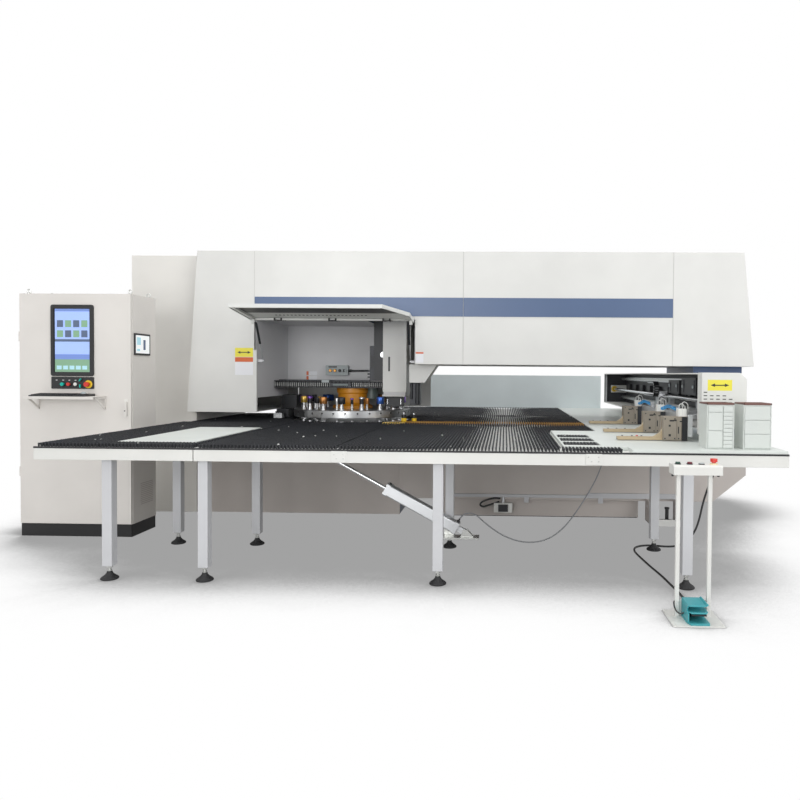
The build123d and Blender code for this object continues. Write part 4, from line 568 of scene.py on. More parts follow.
@dataclass
class Studio:
    """Pale floor, plain soft light and the camera."""

    ambient: float = 0.50
    floor_grey: float = 0.60
    shadow_reach: float = 1.2
    shadow_tone: float = 0.36
    reach: float = 60.0
    camera_place: Point = (1.100, -7.1508, 1.3791)
    lens: float = 30.6
    shift: Pair = (-0.1088, -0.01385)
    yaw: float = 0.0254
    pitch: float = 0.0218
    roll: float = 0.0081

    def build(self) -> None:
        """Make the world, the floor, the lamps and the camera."""
        self.world()
        self.floor()
        self.lamp("overhead", (0.4, -1.6, 7.5), (0.4, -1.0, 0.0), 9.0, 400.0)
        self.lamp("front", (-1.5, -11.0, 2.2), (0.0, 0.0, 1.5), 4.0, 285.0)
        self.lamp("front_right", (7.5, -8.0, 4.0), (1.0, 0.0, 1.2), 5.0, 240.0)
        self.camera()

    def seen(self, tree: bpy.types.NodeTree, *rays: str) -> bpy.types.NodeSocket:
        """Tell whether a ray is of one of several kinds.

        Args:
            tree: Node tree that gets the nodes.
            rays: The kinds, as Blender's light path names them.

        Returns:
            Socket that is 1 for such a ray, and otherwise 0.
        """
        path = add_node(tree, "LightPath").outputs
        found = path[f"Is {rays[0]} Ray"]
        for ray in rays[1:]:
            found = add_node(tree, "Math", links={0: found, 1: path[f"Is {ray} Ray"]},
                             operation="MAXIMUM").outputs[0]
        return found

    def world(self) -> None:
        """White behind the object, and a lower even light on it."""
        world = bpy.data.worlds.new("studio")
        bpy.context.scene.world = world
        tree = empty_tree(world)
        white = (1.0, 1.0, 1.0, 1.0)
        light = add_node(tree, "Background", {"Color": white, "Strength": self.ambient})
        behind = add_node(tree, "Background", {"Color": white, "Strength": 1.0})
        direct = self.seen(tree, "Camera", "Glossy", "Transmission")
        mixed = add_node(tree, "MixShader",
                         links={0: direct, 1: light.outputs[0], 2: behind.outputs[0]})
        add_node(tree, "OutputWorld", links={"Surface": mixed.outputs[0]})

    def floor(self) -> None:
        """Plain pale floor that keeps the object's shadow."""
        material = bpy.data.materials.new("floor_pale")
        tree = empty_tree(material)
        plain = add_node(tree, "BsdfDiffuse", {"Color": (*3 * (self.floor_grey,), 1.0)})
        # the soft shadow: how much of the sky above each point the object covers
        cover = add_node(tree, "AmbientOcclusion", {"Distance": self.shadow_reach}, samples=16)
        tone = add_node(tree, "MapRange",
                        {"From Min": 0.66, "From Max": 0.92, "To Min": self.shadow_tone,
                         "To Max": 1.0},
                        {"Value": cover.outputs["AO"]}, interpolation_type="SMOOTHSTEP")
        shown = add_node(tree, "Emission", {"Color": (1, 1, 1, 1)},
                         {"Strength": tone.outputs["Result"]})
        mixed = add_node(tree, "MixShader", links={0: self.seen(tree, "Camera", "Glossy"),
                                                   1: plain.outputs[0], 2: shown.outputs[0]})
        add_node(tree, "OutputMaterial", links={"Surface": mixed.outputs[0]})
        mesh = bpy.data.meshes.new("floor")
        outline = block(-self.reach, self.reach, -self.reach, self.reach)
        mesh.from_pydata([(x, y, 0) for x, y in outline], [], [(0, 1, 2, 3)])
        mesh.materials.append(material)
        floor = show("floor", mesh)
        floor.location.z = -0.5 * MM

    def lamp(self, name: str, place: Point, target: Point, size: float, power: float) -> None:
        """Hang one soft square lamp.

        Args:
            name: Name of the lamp.
            place: Where it hangs, in metres.
            target: Where it points, in metres.
            size: Side of the lamp in metres.
            power: Its power in watts.
        """
        data = bpy.data.lights.new(name, "AREA")
        data.size, data.energy = size, power
        lamp = show(name, data)
        lamp.location = place
        lamp.rotation_euler = (Vector(target) - Vector(place)).to_track_quat("-Z", "Y").to_euler()

    def camera(self) -> None:
        """Set the camera at the photograph's angle."""
        data = bpy.data.cameras.new("camera")
        data.sensor_width = 36.0
        data.lens = self.lens
        data.shift_x, data.shift_y = self.shift
        data.clip_end = 200.0
        camera = show("camera", data)
        bpy.context.scene.camera = camera
        camera.matrix_world = (
            Matrix.Translation(self.camera_place) @ Matrix.Rotation(self.yaw, 4, "Z")
            @ Matrix.Rotation(-self.pitch, 4, "X") @ Matrix.Rotation(-self.roll, 4, "Y")
            @ Matrix.Rotation(math.pi / 2, 4, "X"))


# Covers and frame

@dataclass
class AxisPlate:
    """Plain yellow plate with two arrows, fixed on a front face."""

    name: str
    body: str
    face_y: float
    x: Pair
    z: Pair

    def build(self) -> None:
        """Make the plate, its bar and its arrows."""
        part = Part(self.name)
        (x0, x1), (z0, z1), y = self.x, self.z, self.face_y
        w, h, centre, middle = x1 - x0, z1 - z0, (x0 + x1) / 2, (z0 + z1) / 2
        part.box(SIGN_YELLOW, (x0, x1, y - 1.0, y, z0, z1))
        for side in (-1, 1):
            base, tip = centre + side * 0.2 * w, centre + side * 0.38 * w
            arrow = [(base, middle - 0.16 * h), (tip, middle), (base, middle + 0.16 * h)]
            part.prism(Axis.Y, arrow, y - 1.5, y - 0.9, SIGN_BLACK)
        part.box(SIGN_BLACK, (centre - 0.2 * w, centre + 0.2 * w, y - 1.5, y - 0.9,
                              middle - 0.05 * h, middle + 0.05 * h))
        part.build(self.body, "white_paint", 0.4)


@dataclass
class Covers:
    """Sheet-metal covers round the frame, with their plates and small fittings."""

    front_y: float = -710.0
    seams: tuple[Pair, ...] = ((-1288.0, 1892.0), (705.0, 1468.0), (2678.0, 1468.0))
    top_z: float = 2535.0
    lower_front_y: float = -650.0

    def build(self) -> None:
        """Dress the covers and fix their details."""
        dress(COVER, "left_cover", "bay_cover", "centre_cover", "right_cover", bevel=3.0)
        dress(HOUSING, "left_enclosure", bevel=3.0)
        dress(LOWER, "lower_covers", bevel=3.0)
        dress(BAND, "blue_band")
        dress(FRAME, "o_frame", bevel=3.0)
        AxisPlate("turret_axis_plate", "machine", self.front_y, (-1475.0, -1302.0),
                  (1525.0, 1611.0)).build()
        self.plates()
        self.strips()
        self.rail()
        self.hanger()
        self.valve_block()
        self.corner_bracket()

    def plates(self) -> None:
        """Bare orange and white plates below the yellow one, and by the bay's right edge."""
        part = Part("cover_plates")
        y = self.front_y
        part.box(SIGN_ORANGE, (-1475, -1302, y - 1, y, 1478, 1521),
                 (256, 330, y - 1, y, 1567, 1583))
        part.box(SIGN_WHITE, (-1475, -1302, y - 1, y, 1352, 1474),
                 (256, 330, y - 1, y, 1483, 1566))
        part.build("machine", "white_paint")

    def strips(self) -> None:
        """Light sealing strips set back in the seams, and the turned-in edge beside the bay."""
        part = Part("cover_seam_strips")
        y = self.front_y
        for x, foot in self.seams:
            part.box(SEAM, (x - 1.9, x + 1.9, y + 1.2, y + 6, foot, self.top_z - 1))
        part.box(COVER, (-1290, -1268, y + 0.4, y + 26, 997, 1592))
        part.build("machine", "white_paint")

    def rail(self) -> None:
        """Light rail with its tabs, and the dark strip under the lower cover, painted shade at its
        foot.
        """
        part = Part("lower_beam_fittings")
        y = self.lower_front_y
        part.box(LEG, (612, 2752, y - 26, y, 204, 232), (1900, 2752, y - 28, y, 232, 252),
                 (1297, 1343, y - 29, y - 26, 156, 216), (2002, 2048, y - 29, y - 26, 156, 216))
        # black strip at the floor behind the lower cover's front: painted shade under the cover's
        # foot
        part.box(PLINTH, (612, 2390, y + 69, y + 72, 4, 10))
        part.build("machine", "white_paint", 1.5)

    def hanger(self) -> None:
        """Black guides that hang from the bay cover's foot, right of the turret, before a dark box
        that is painted shade.
        """
        part = Part("bay_hanger_guides")
        # dark box behind the rods: painted shade for the dark gap between them
        part.box(OXIDE, (171, 269, -481, -369, 1071, 1289))
        part.rod((189, -492, 1128), (189, -492, 1289), 11, BLACK_PAINT, 20, 2)
        part.rod((247, -500, 1074), (247, -500, 1289), 19, BLACK_PAINT, 24, 3)
        part.build("machine", "dark_metal", 2.0)

    def valve_block(self) -> None:
        """Small white block with a black coil and its looped lead, under the light rail."""
        part = Part("lower_valve_block")
        y = self.lower_front_y
        part.box(ABS_WHITE, (1010, 1186, y - 40, y + 4, 60, 150))
        part.box(ABS_BLACK, (1052, 1144, y - 58, y - 40, 70, 138))
        part.rod((1098, y - 10, 150), (1098, y - 10, 204), 14, ALU, 20, 2)
        part.box(OXIDE, (1070, 1126, y - 60, y - 56, 84, 124))
        loop = ((1070, 10, 190), (1020, 26, 196), (960, 34, 184), (900, 34, 160), (880, 30, 128),
                (910, 26, 112), (966, 22, 128), (1030, 18, 150), (1062, 12, 160))
        part.pipe([(x, y - out, z) for x, out, z in loop], 9, PVC_BLACK, 12)
        part.build("machine", "black_plastic", 1.5)

    def corner_bracket(self) -> None:
        """Sheet bracket before the lower right cover, with a dark screw foot."""
        part = Part("lower_corner_bracket")
        y = self.lower_front_y
        cheek = [(y - 4, 4), (y - 4, 206), (y - 150, 206), (y - 290, 64), (y - 290, 4)]
        for x in (2452, 2716):
            part.prism(Axis.X, cheek, x, x + 8, LOWER)
            part.rod((x - 1, y - 96, 150), (x + 9, y - 96, 150), 14, SIGN_WHITE, 16)
        part.box(COVER, (2452, 2724, y - 292, y - 4, 4, 12), (2516, 2724, y - 300, y - 290, 4, 66))
        foot = [(52, 0), (52, 12), (26, 34), (16, 40), (16, 132), (22, 134), (22, 150), (12, 152)]
        part.lathe((2612, y - 200, 12), UP, foot, ABS_BLACK)
        part.build("machine", "white_paint", 1.5)


# Turret bay

@dataclass
class TurretBay:
    """Lining, head, guide column, control box and chain arm of the bay."""

    wall_y: float = 260.0
    head: Rect = (-118.0, 118.0, -365.0, 200.0)
    column: Rect = (-240.0, -118.0, -200.0, 255.0)
    carriage: Rect = (-292.0, -240.0, -150.0, 200.0)
    chain_x: Pair = (-1274.0, -150.0)
    chain_z: Pair = (1225.0, 1297.0)
    link: float = 20.0

    def build(self) -> None:
        """Dress the bay and fix its details."""
        dress(LINING, "bay_liner", bevel=1.0)
        dress(COVER, "ram_housing", bevel=4.0)
        dress(ABS_GREY, "button_box", bevel=1.5)
        dress(CHROME, "ram")
        dress(BLACK_PAINT, "chain_drive")
        self.control_box()
        self.head_details()
        self.guide_column()
        self.chain()
        self.wall_plates()
        self.turret_surroundings()

    def control_box(self) -> None:
        """Lit buttons, selectors, label strip, gland and conduit."""
        part = Part("bay_control_details")
        y, z = self.wall_y - 62, 1404.0
        for x in (-790, -740):
            part.rod((x, y - 16, z), (x, y, z), 17, ABS_BLACK, 20, 2)
            part.rod((x, y - 19, z), (x, y - 15, z), 14, LENS, 20, 2)
        for x in (-688, -645):
            part.rod((x, y - 14, z), (x, y, z), 16, ABS_BLACK, 20, 2)
            part.box(ABS_BLACK, (x - 4, x + 4, y - 26, y - 13, z - 14, z + 14))
        part.box(ABS_BLACK, (-812, -720, y - 2, y, 1436, 1452))
        part.rod((-604, y + 32, z), (-570, y + 32, z), 14, ABS_BLACK, 12, 2)
        part.rod((-572, y + 32, z), (-240, y + 32, z), 10, PVC_DARK, 12)
        part.build("machine", "black_plastic", 1.0)

    def head_details(self) -> None:
        """Seam and slot handle of the head, its screws, white rod and foot plate."""
        part = Part("head_details")
        x0, x1, y0, y1 = self.head
        part.box(LINING, (x0, x1, y0 - 0.6, y0 + 1, 1762, 1767),
                 *((a, b, c, d, 1166, 1192) for a, b, c, d in (
                     (x0 + 6, x1 - 10, y0 + 16, -82), (x0 + 6, -82, -82, 82),
                     (82, x1 - 10, -82, 82), (x0 + 6, x1 - 10, 82, y1))))
        part.box(ABS_BLACK, (-64, -46, y0 - 3, y0 + 1, 1400, 1544))
        for x in (x0 + 12, x1 - 12):
            for z in (1215, 1900):
                part.lathe((x, y0, z), FRONT, [(4.5, 0), (4.5, 1.5), (0, 3)], ZINC, 12)
        part.rod((150, -300, 1505), (150, -300, 1888), 4.5, PA_WHITE, 14)
        part.build("machine", "white_paint", 1.0)

    def guide_column(self) -> None:
        """Skin of the dark guide column and its carriage, with fins and a lamp."""
        part = Part("guide_column")
        x0, x1, y0, y1 = self.column
        part.box(BLACK_PAINT, (x0 - 0.6, x1 - 1, y0 - 0.6, y1, 1299, 1944))
        part.lathe((x1 - 22, y0 - 4, 1566), (-0.4, -1, 0.3), [(26, 0), (30, 18), (20, 30), (0, 34)],
                   LAMP_LENS, 16)
        x0, x1, y0, y1 = self.carriage
        part.box(BLACK_PAINT, (x0 + 10, x1 - 6, y0 - 8, y0, 1430, 1560))
        part.box(OXIDE, (x0 - 0.6, x1, y0 - 0.6, y1, 1299, 1661),
                 *((x0 - 26, x0, y0 + 10, y0 + 60, z, z + 16) for z in (1330, 1362, 1394)))
        part.build("machine", "dark_metal", 1.5)

    def chain(self) -> None:
        """Drive chain links in the arm's open front, and its end plates."""
        part = Part("drive_chain")
        (x0, x1), (z0, z1) = self.chain_x, self.chain_z
        y = -176.0
        for i in range(int((x1 - x0) // self.link)):
            x = x0 + (i + 0.5) * self.link
            part.rod((x, y - 8, z0 + 12), (x, y - 8, z1 - 22), 4.2, ZINC, 8)
            if i % 2 == 0:
                part.box(OXIDE, *((x - 4, x + 24, y - 14, y - 2, z - 2, z + 2)
                                  for z in (z0 + 16, (z0 + z1) / 2, z1 - 16)))
        part.box(ABS_GREY, (-778, -702, -206, -198, z1 - 18, z1 + 8))
        part.box(OXIDE, (-691, -474, -212, -198, z0 + 16, z0 + 50),
                 (-1240, -300, -150, 40, z1 + 0.5, z1 + 9))
        part.box(GREY_GREEN, (-660, -505, -214, -212, z0 + 24, z0 + 42))
        part.build("machine", "dark_metal")

    def wall_plates(self) -> None:
        """Two bare plates on the bay's rear wall."""
        part = Part("bay_wall_plates")
        y = self.wall_y
        for z in (1300, 1352):
            part.box(SIGN_ORANGE, (-1072, -1048, y - 1, y, z, z + 42))
            part.box(SIGN_WHITE, (-1044, -955, y - 1, y, z, z + 42))
        part.build("machine", "white_paint")

    def turret_surroundings(self) -> None:
        """Dark support left of the turret, sensor block, guide cylinder, holder and posts."""
        part = Part("turret_surroundings")
        part.box(BLACK_PAINT, (-1274, -1118, 60, 250, 915, 1140))
        part.box(OXIDE, (-1274, -1150, -120, 56, 915, 1000))
        part.box(ALU, (-1262, -1176, -250, -170, 912, 962))
        part.box(STEEL, (-1250, -1188, -254, -250, 920, 954))
        for x in (-1246, -1220, -1194):
            part.rod((x, -212, 962), (x, -212, 982), 8, OXIDE, 12, 2)
        part.lathe((-300, 30, 1110), UP, [(66, 0), (66, 12), (56, 170), (40, 186)], GREY_GREEN, 28)
        part.build("machine", "dark_metal", 1.5)
        holder = Part("punch_holder")
        holder.box(BLACK_PAINT, (-112, 66, -240, -120, 1040, 1140))
        holder.rod((-22, -180, 1026), (-22, -180, 1042), 40, OXIDE, 28, 3)
        for x in (-92, 46):
            holder.rod((x, -243, 1062), (x, -243, 1120), 7, CHROME, 12, 1)
        holder.box(COVER, (-128, 104, -330, -80, 1146, 1165))
        holder.build("machine", "dark_metal", 1.5)
        posts = Part("die_side_cylinders")
        foot = 905
        for x, y, r, h in ((112, -470, 27, 66), (206, -420, 24, 58)):
            neck, top = foot + 0.52 * h, foot + h
            posts.rod((x, y, foot), (x, y, neck), r, ABS_YELLOW, 24, 3)
            posts.rod((x, y, neck), (x, y, top), 0.9 * r, ABS_BLACK, 24, 3)
            posts.rod((x, y, top), (x, y, top + 26), 0.45 * r, CHROME, 16, 2)
        posts.build("machine", "black_plastic")


@dataclass
class Turret:
    """Upper and lower turret with their tools and dies."""

    x: float = -500.0
    pitch: float = 500.0
    inner_pitch: float = 385.0
    radius: float = 600.0
    top_z: float = 1012.0
    stations: int = 16
    height: float = 128.0

    def build(self) -> None:
        """Dress the turrets and stand their tools on them."""
        dress(TURNED, "upper_turret", "lower_turret")
        dress(HUB, "turret_hub")
        part = Part("punch_tools")
        caps = (COPPER, OXIDE, TURNED, BLUE_CAP, OXIDE, VIOLET_CAP, GOLD, VIOLET_CAP)
        for i in range(self.stations):
            angle = 2 * math.pi * i / self.stations
            large = i % (self.stations // 2) == 0 or i == 3 * self.stations // 8
            self.tool(part, self.pitch, angle, 62.0 if large else 36.0, self.height,
                      caps[(i + 5) % len(caps)], i % 3 == 1)
            self.tool(part, self.inner_pitch, angle + math.pi / self.stations, 23.0,
                      self.height - 14, caps[(3 * i + 1) % len(caps)], i % 2 == 0)
        part.build("turret", "bright_steel", replaces=("turret_tools",))
        holes = Part("turret_rim_holes")
        inner, z = self.radius - 4, self.top_z - 30
        for i in range(2 * self.stations):
            turn = math.pi * (i + 0.5) / self.stations
            c, s = math.cos(turn), math.sin(turn)
            # each hole is a black disc inside a bright ring: the disc is painted shade for the
            # hole's dark inside
            for proud, r, finish in ((0.8, 12, TURNED), (1.4, 9, ABS_BLACK)):
                outer = self.radius + proud
                holes.rod((self.x + inner * c, inner * s, z), (self.x + outer * c, outer * s, z),
                          r, finish, 16)
        holes.build("turret", "dark_metal")

    def tool(self, part: Part, pitch: float, angle: float, radius: float, height: float,
             cap: Finish, spring: bool) -> None:
        """Stand one punch on the turret: flanged body, neck or spring, and its cap.

        Args:
            part: Piece that gets the tool.
            pitch: Radius of its station circle.
            angle: Its place on the circle.
            radius: Radius of its head.
            height: Height above the turret.
            cap: Finish of the head.
            spring: Show coils under the head.
        """
        r, h = radius, height
        base = Vector((self.x + pitch * math.cos(angle), pitch * math.sin(angle), self.top_z))
        part.lathe(base, UP, [(0.78 * r, 0), (0.78 * r, 8), (0.62 * r, 10), (0.62 * r, 0.3 * h),
                              (0.5 * r, 0.32 * h), (0.5 * r, 0.46 * h)], TURNED, 18)
        head = [(0.9 * r, 0.46 * h), (r, 0.5 * h), (r, 0.93 * h), (0.9 * r, h)]
        if spring:
            coils = []
            for k in range(6):
                z = (0.46 + 0.07 * k) * h
                coils += [(0.7 * r, z), (0.7 * r, z + 0.035 * h), (0.52 * r, z + 0.045 * h),
                          (0.52 * r, z + 0.065 * h)]
            part.lathe(base, UP, coils, OXIDE, 18)
            head = [(0.8 * r, 0.88 * h), (0.8 * r, h - 2), (0.72 * r, h)]
        part.lathe(base, UP, head, cap, 18)
        part.lathe(base + Vector((0, 0, h - 0.5)), UP,
                   [(0.3 * r, 0), (0.3 * r, 2.0), (0.2 * r, 2.4)], OXIDE, 12)


@dataclass
class Guard:
    """Open gull-wing guard with its inner frame, hinges and gas struts."""

    axis: Pair = (-745.0, 1878.0)
    rise_deg: float = 7.5
    hinge_x: tuple[float, ...] = (-1020.0, -508.0, -2.0)

    def build(self) -> None:
        """Dress the guard and add its inner pressings and hinge leaves."""
        dress(GUARD, "gull_cover", bevel=2.0)
        dress(BLACK_PAINT, "strut_barrels")
        dress(ALU, "strut_rods")
        # what rides on the guard is given level, from its axis, and swung up to the open angle
        swung = (Matrix.Translation((0, *self.axis))
                 @ Matrix.Rotation(-math.radians(self.rise_deg), 4, "X"))
        part = Part("guard_inner_frame", swung)
        part.box(GUARD, (-1262, -30, -60, -84, -20, -2), (-1262, 30, -604, -584, -22, -2),
                 (-1262, -1236, -590, -60, -22, -2), (196, 232, -300, -60, -22, -2))
        # dark grey panel over the guard's underside: painted shade; its row of dark bars marks a
        # row of perforations, darkened the same way
        part.prism(Axis.Z, [(-1262, -300), (222, -300), (66, -590), (-1262, -590)], 0.6, 2.9,
                   PAINTED_SHADE_UNDERSIDE)
        part.box(PAINTED_SHADE_UNDERSIDE, *((x, x + 18, -208, -188, 0.8, 2.9) for x in range(-1010, -146, 36)))
        part.build("gull_guard", "guard_paint", 1.0)
        leaves, fixed = Part("guard_hinge_leaves", swung), Part("guard_hinge_brackets")
        for x in self.hinge_x:
            leaves.box(ABS_BLACK, (x - 34, x + 34, -42, -20, -10, -5.9),
                       (x - 32, x - 16, -44, -14, -16, -6), (x + 16, x + 32, -44, -14, -16, -6),
                       (x - 38, x + 38, -98, -87, -30, -20),
                       (x - 38, x - 24, -98, -87, -20, -2), (x + 24, x + 38, -98, -87, -20, -2))
            fixed.box(ABS_BLACK, (x - 37, x + 37, -734, -711, 1890.4, 1911),
                      (x - 37, x - 30.5, -754, -711, 1869, 1911),
                      (x + 30.5, x + 37, -754, -711, 1869, 1911))
        leaves.build("gull_guard", "dark_metal", 1.0)
        fixed.build("machine", "dark_metal", 0.8)


# Tables

@dataclass
class BristleField:
    """Bristle tufts in rows over stretches of table."""

    name: str
    body: str
    replaces: tuple[str, ...]
    areas: tuple[Rect, ...]
    keep_out: tuple[Rect, ...] = ()
    disc: tuple[float, float, float] | None = None
    amber: Rect | None = None
    pitch: float = 23.0
    root_z: float = 880.0
    tip_z: float = 908.0
    root: float = 3.4
    tip: float = 5.0
    # share of tufts made pale all over: white chips among the bristles, and painted glints of light
    chip_and_glint_share: float = 0.0015
    clearance: float = 8.0

    def free(self, x: float, y: float) -> bool:
        """Tell whether a tuft may stand at a place."""
        gap = self.clearance
        if any(a - gap < x < b + gap and c - gap < y < d + gap for a, b, c, d in self.keep_out):
            return False
        return not self.disc or math.hypot(x - self.disc[0], y - self.disc[1]) > self.disc[2]

    def build(self) -> None:
        """Make every tuft of the field as one piece."""
        dice = random.Random(11)
        verts: list[Point] = []
        faces: list[tuple[int, ...]] = []
        shades: list[int] = []
        x0, x1, y0, y1 = self.amber or (0.0, 0.0, 0.0, 0.0)
        for x, y in self.places():
            if x0 < x < x1 and y0 < y < y1:
                tone = 1
            else:
                # a few tufts are pale: white chips among the bristles, and painted glints of light
                tone = 2 if dice.random() < self.chip_and_glint_share else 0
            lean_x, lean_y = dice.uniform(-1, 1), dice.uniform(-1, 1)
            first, top = len(verts), self.tip_z - dice.uniform(1.5, 3.0)
            for half, z, dx, dy in ((self.root, self.root_z, 0, 0),
                                    (self.tip, top, lean_x, lean_y)):
                verts += [((x + dx + a * half) * MM, (y + dy + b * half) * MM, z * MM)
                          for a, b in block(-1, 1, -1, 1)]
            verts.append(((x + lean_x) * MM, (y + lean_y) * MM, (top + 1.5) * MM))
            for k in range(4):
                n = (k + 1) % 4
                faces += [(first + k, first + n, first + 4 + n, first + 4 + k),
                          (first + 4 + k, first + 4 + n, first + 8)]
                shades += [tone, tone]
        mesh = bpy.data.meshes.new(self.name)
        mesh.from_pydata(verts, [], faces)
        for finish in (BRISTLE, BRISTLE_AMBER, PA_WHITE):
            mesh.materials.append(finish.material())
        mesh.polygons.foreach_set("material_index", shades)
        attach(show(self.name, mesh), self.body, "bristle", self.replaces)

    def places(self) -> list[Pair]:
        """Where tufts stand, row by row."""
        found = []
        for x0, x1, y0, y1 in self.areas:
            columns = int((x1 - x0 - 2 * self.tip) // self.pitch)
            rows = int((y1 - y0 - 2 * self.tip) // self.pitch)
            left, near = (x0 + x1 - columns * self.pitch) / 2, (y0 + y1 - rows * self.pitch) / 2
            found += [(left + i * self.pitch, near + j * self.pitch)
                      for i in range(columns + 1) for j in range(rows + 1)]
        return [place for place in found if self.free(*place)]


@dataclass
class Tables:
    """Front and rear tables with their bristles, plates, legs and feet."""

    left: float = -1962.0
    right: float = 2908.0
    front: float = -2810.0
    rear_of_front: float = -733.0
    seam: float = -914.0
    joint: float = 1675.0
    brush_right: float = 1870.0
    margin: float = 12.0
    slots: Rect = (1510.0, 1755.0, -2550.0, 218.0)
    slot_pitch: float = 280.0
    leg_x: tuple[float, ...] = (-1507.0, -869.0, 675.0, 2290.0)
    leg_y: Pair = (-2731.0, -1776.0)
    rear_leg_y: Pair = (2502.0, 1547.0)
    flap: Rect = (-384.0, 14.0, -2770.0, -755.0)

    def build(self) -> None:
        """Dress the tables and fill them with bristles."""
        dress(SKIRT, "left_table", "centre_table", "right_table", "rear_table", bevel=2.0)
        dress(LEG, "table_legs", bevel=2.5)
        dress(PLATE, "plain_plates", bevel=1.0)
        dress(FENCE, "rear_guard", bevel=1.5)
        self.bristles()
        self.edge_strip()
        self.small_parts()
        self.feet()

    def bristles(self) -> None:
        """Front, throat and rear bristle fields."""
        m, right = self.margin, self.brush_right
        near, far = self.front + m, self.rear_of_front - m
        x0, x1, y0, length = self.slots
        slots = tuple((x0 + 4, x1 - 4, y + 4, y + length - 4)
                      for y in (y0 + i * self.slot_pitch for i in range(3)))
        fx0, fx1, fy0, fy1 = self.flap
        inset = (-1515.0, -985.0, -2630.0, -1365.0)
        slotted = (1494.0, 1871.0, -2647.0, -1376.0)
        webs = ((1228.0, 1871.0, -740.0, -680.0), (1228.0, 1871.0, 680.0, 740.0))
        for field in (
                BristleField("front_bristles", "machine", ("front_brushes",),
                             ((self.left + m, self.seam - m, near, far),
                              (self.seam + 18, right, near, far)),
                             (inset, slotted, (fx0 - 2, fx1 + 12, fy0, fy1))),
                BristleField("slot_bristles", "machine", (), slots, root=5.6, tip=7.8),
                BristleField("throat_bristles", "machine", ("rear_brushes",),
                             ((-1888.0, right, -721.0, 721.0),), webs, (-500.0, 0.0, 632.0),
                             (-30.0, 1985.0, -640.0, -390.0), tip=4.4),
                BristleField("rear_bristles", "machine", (), ((-896.0, right, 722.0, 2610.0),),
                             webs),
                BristleField("flap_bristles", "drop_flap", (),
                             ((fx0 + 6, fx1 - 10, fy0 + 6, fy1 - 6),))):
            field.build()

    def edge_strip(self) -> None:
        """Dark rubber strip along the front edge of the table top."""
        part = Part("table_edge_strip")
        y0, y1 = self.front - 3, self.front + 6
        part.prism(Axis.X, [(y0, 874), (y1, 874), (y1, 886), (y0, 884)], self.left, self.right,
                   RUBBER)
        part.build("machine", "rubber_black", 1.0)

    def small_parts(self) -> None:
        """Screws of the seam plates and of the light plates, and the throat strip's end."""
        part = Part("table_screws")
        for x in (39.0, self.joint):
            for dx, z in ((-34, 856), (-14, 828), (30, 856), (30, 828)):
                part.lathe((x + dx, self.front - 4, z), FRONT, [(5, 0), (5, 1.5), (3, 3)], ZINC, 12)
        for x, y in ((-390, -2702), (-390, -2139), (-390, -1573), (-751, -1616), (-1700, -2500),
                     (-1700, -1900), (-1700, -1300), (620, -1900), (900, -1300), (1180, -2200)):
            part.lathe((x, y, 897), UP, [(9, 0), (9, 7), (5, 10)], PA_WHITE, 12)
        part.box(GOLD, (-60, 150, -690, -560, 884, 909.5))
        part.box(PA_WHITE, (-30, 80, -560, -530, 884, 910))
        part.build("machine", "bright_steel", 0.6)

    def feet(self) -> None:
        """Levelling feet: rubber cone pads, bright studs and lock nuts."""
        part = Part("levelling_feet_detail")
        places = [(x, y, 0) for x in self.leg_x for y in self.leg_y]
        places += [(x, y, 0) for x in self.leg_x[1:] for y in self.rear_leg_y]
        pad = [(52, 0), (56, 3), (56, 10), (50, 16), (30, 30), (19, 44), (17, 52), (12, 54)]
        stud, washer = [(10, 50), (10, 92)], [(13, 54), (15, 56), (15, 62), (13, 64)]
        nut = [(17, 76), (19, 78), (19, 90), (17, 92)]
        for base in places:
            for profile, finish, sides in ((pad, RUBBER, 28), (stud, ZINC, 14), (washer, ZINC, 14),
                                           (nut, ZINC, 6)):
                part.lathe(base, UP, profile, finish, sides)
        part.build("machine", "rubber_black", replaces=("levelling_feet",))


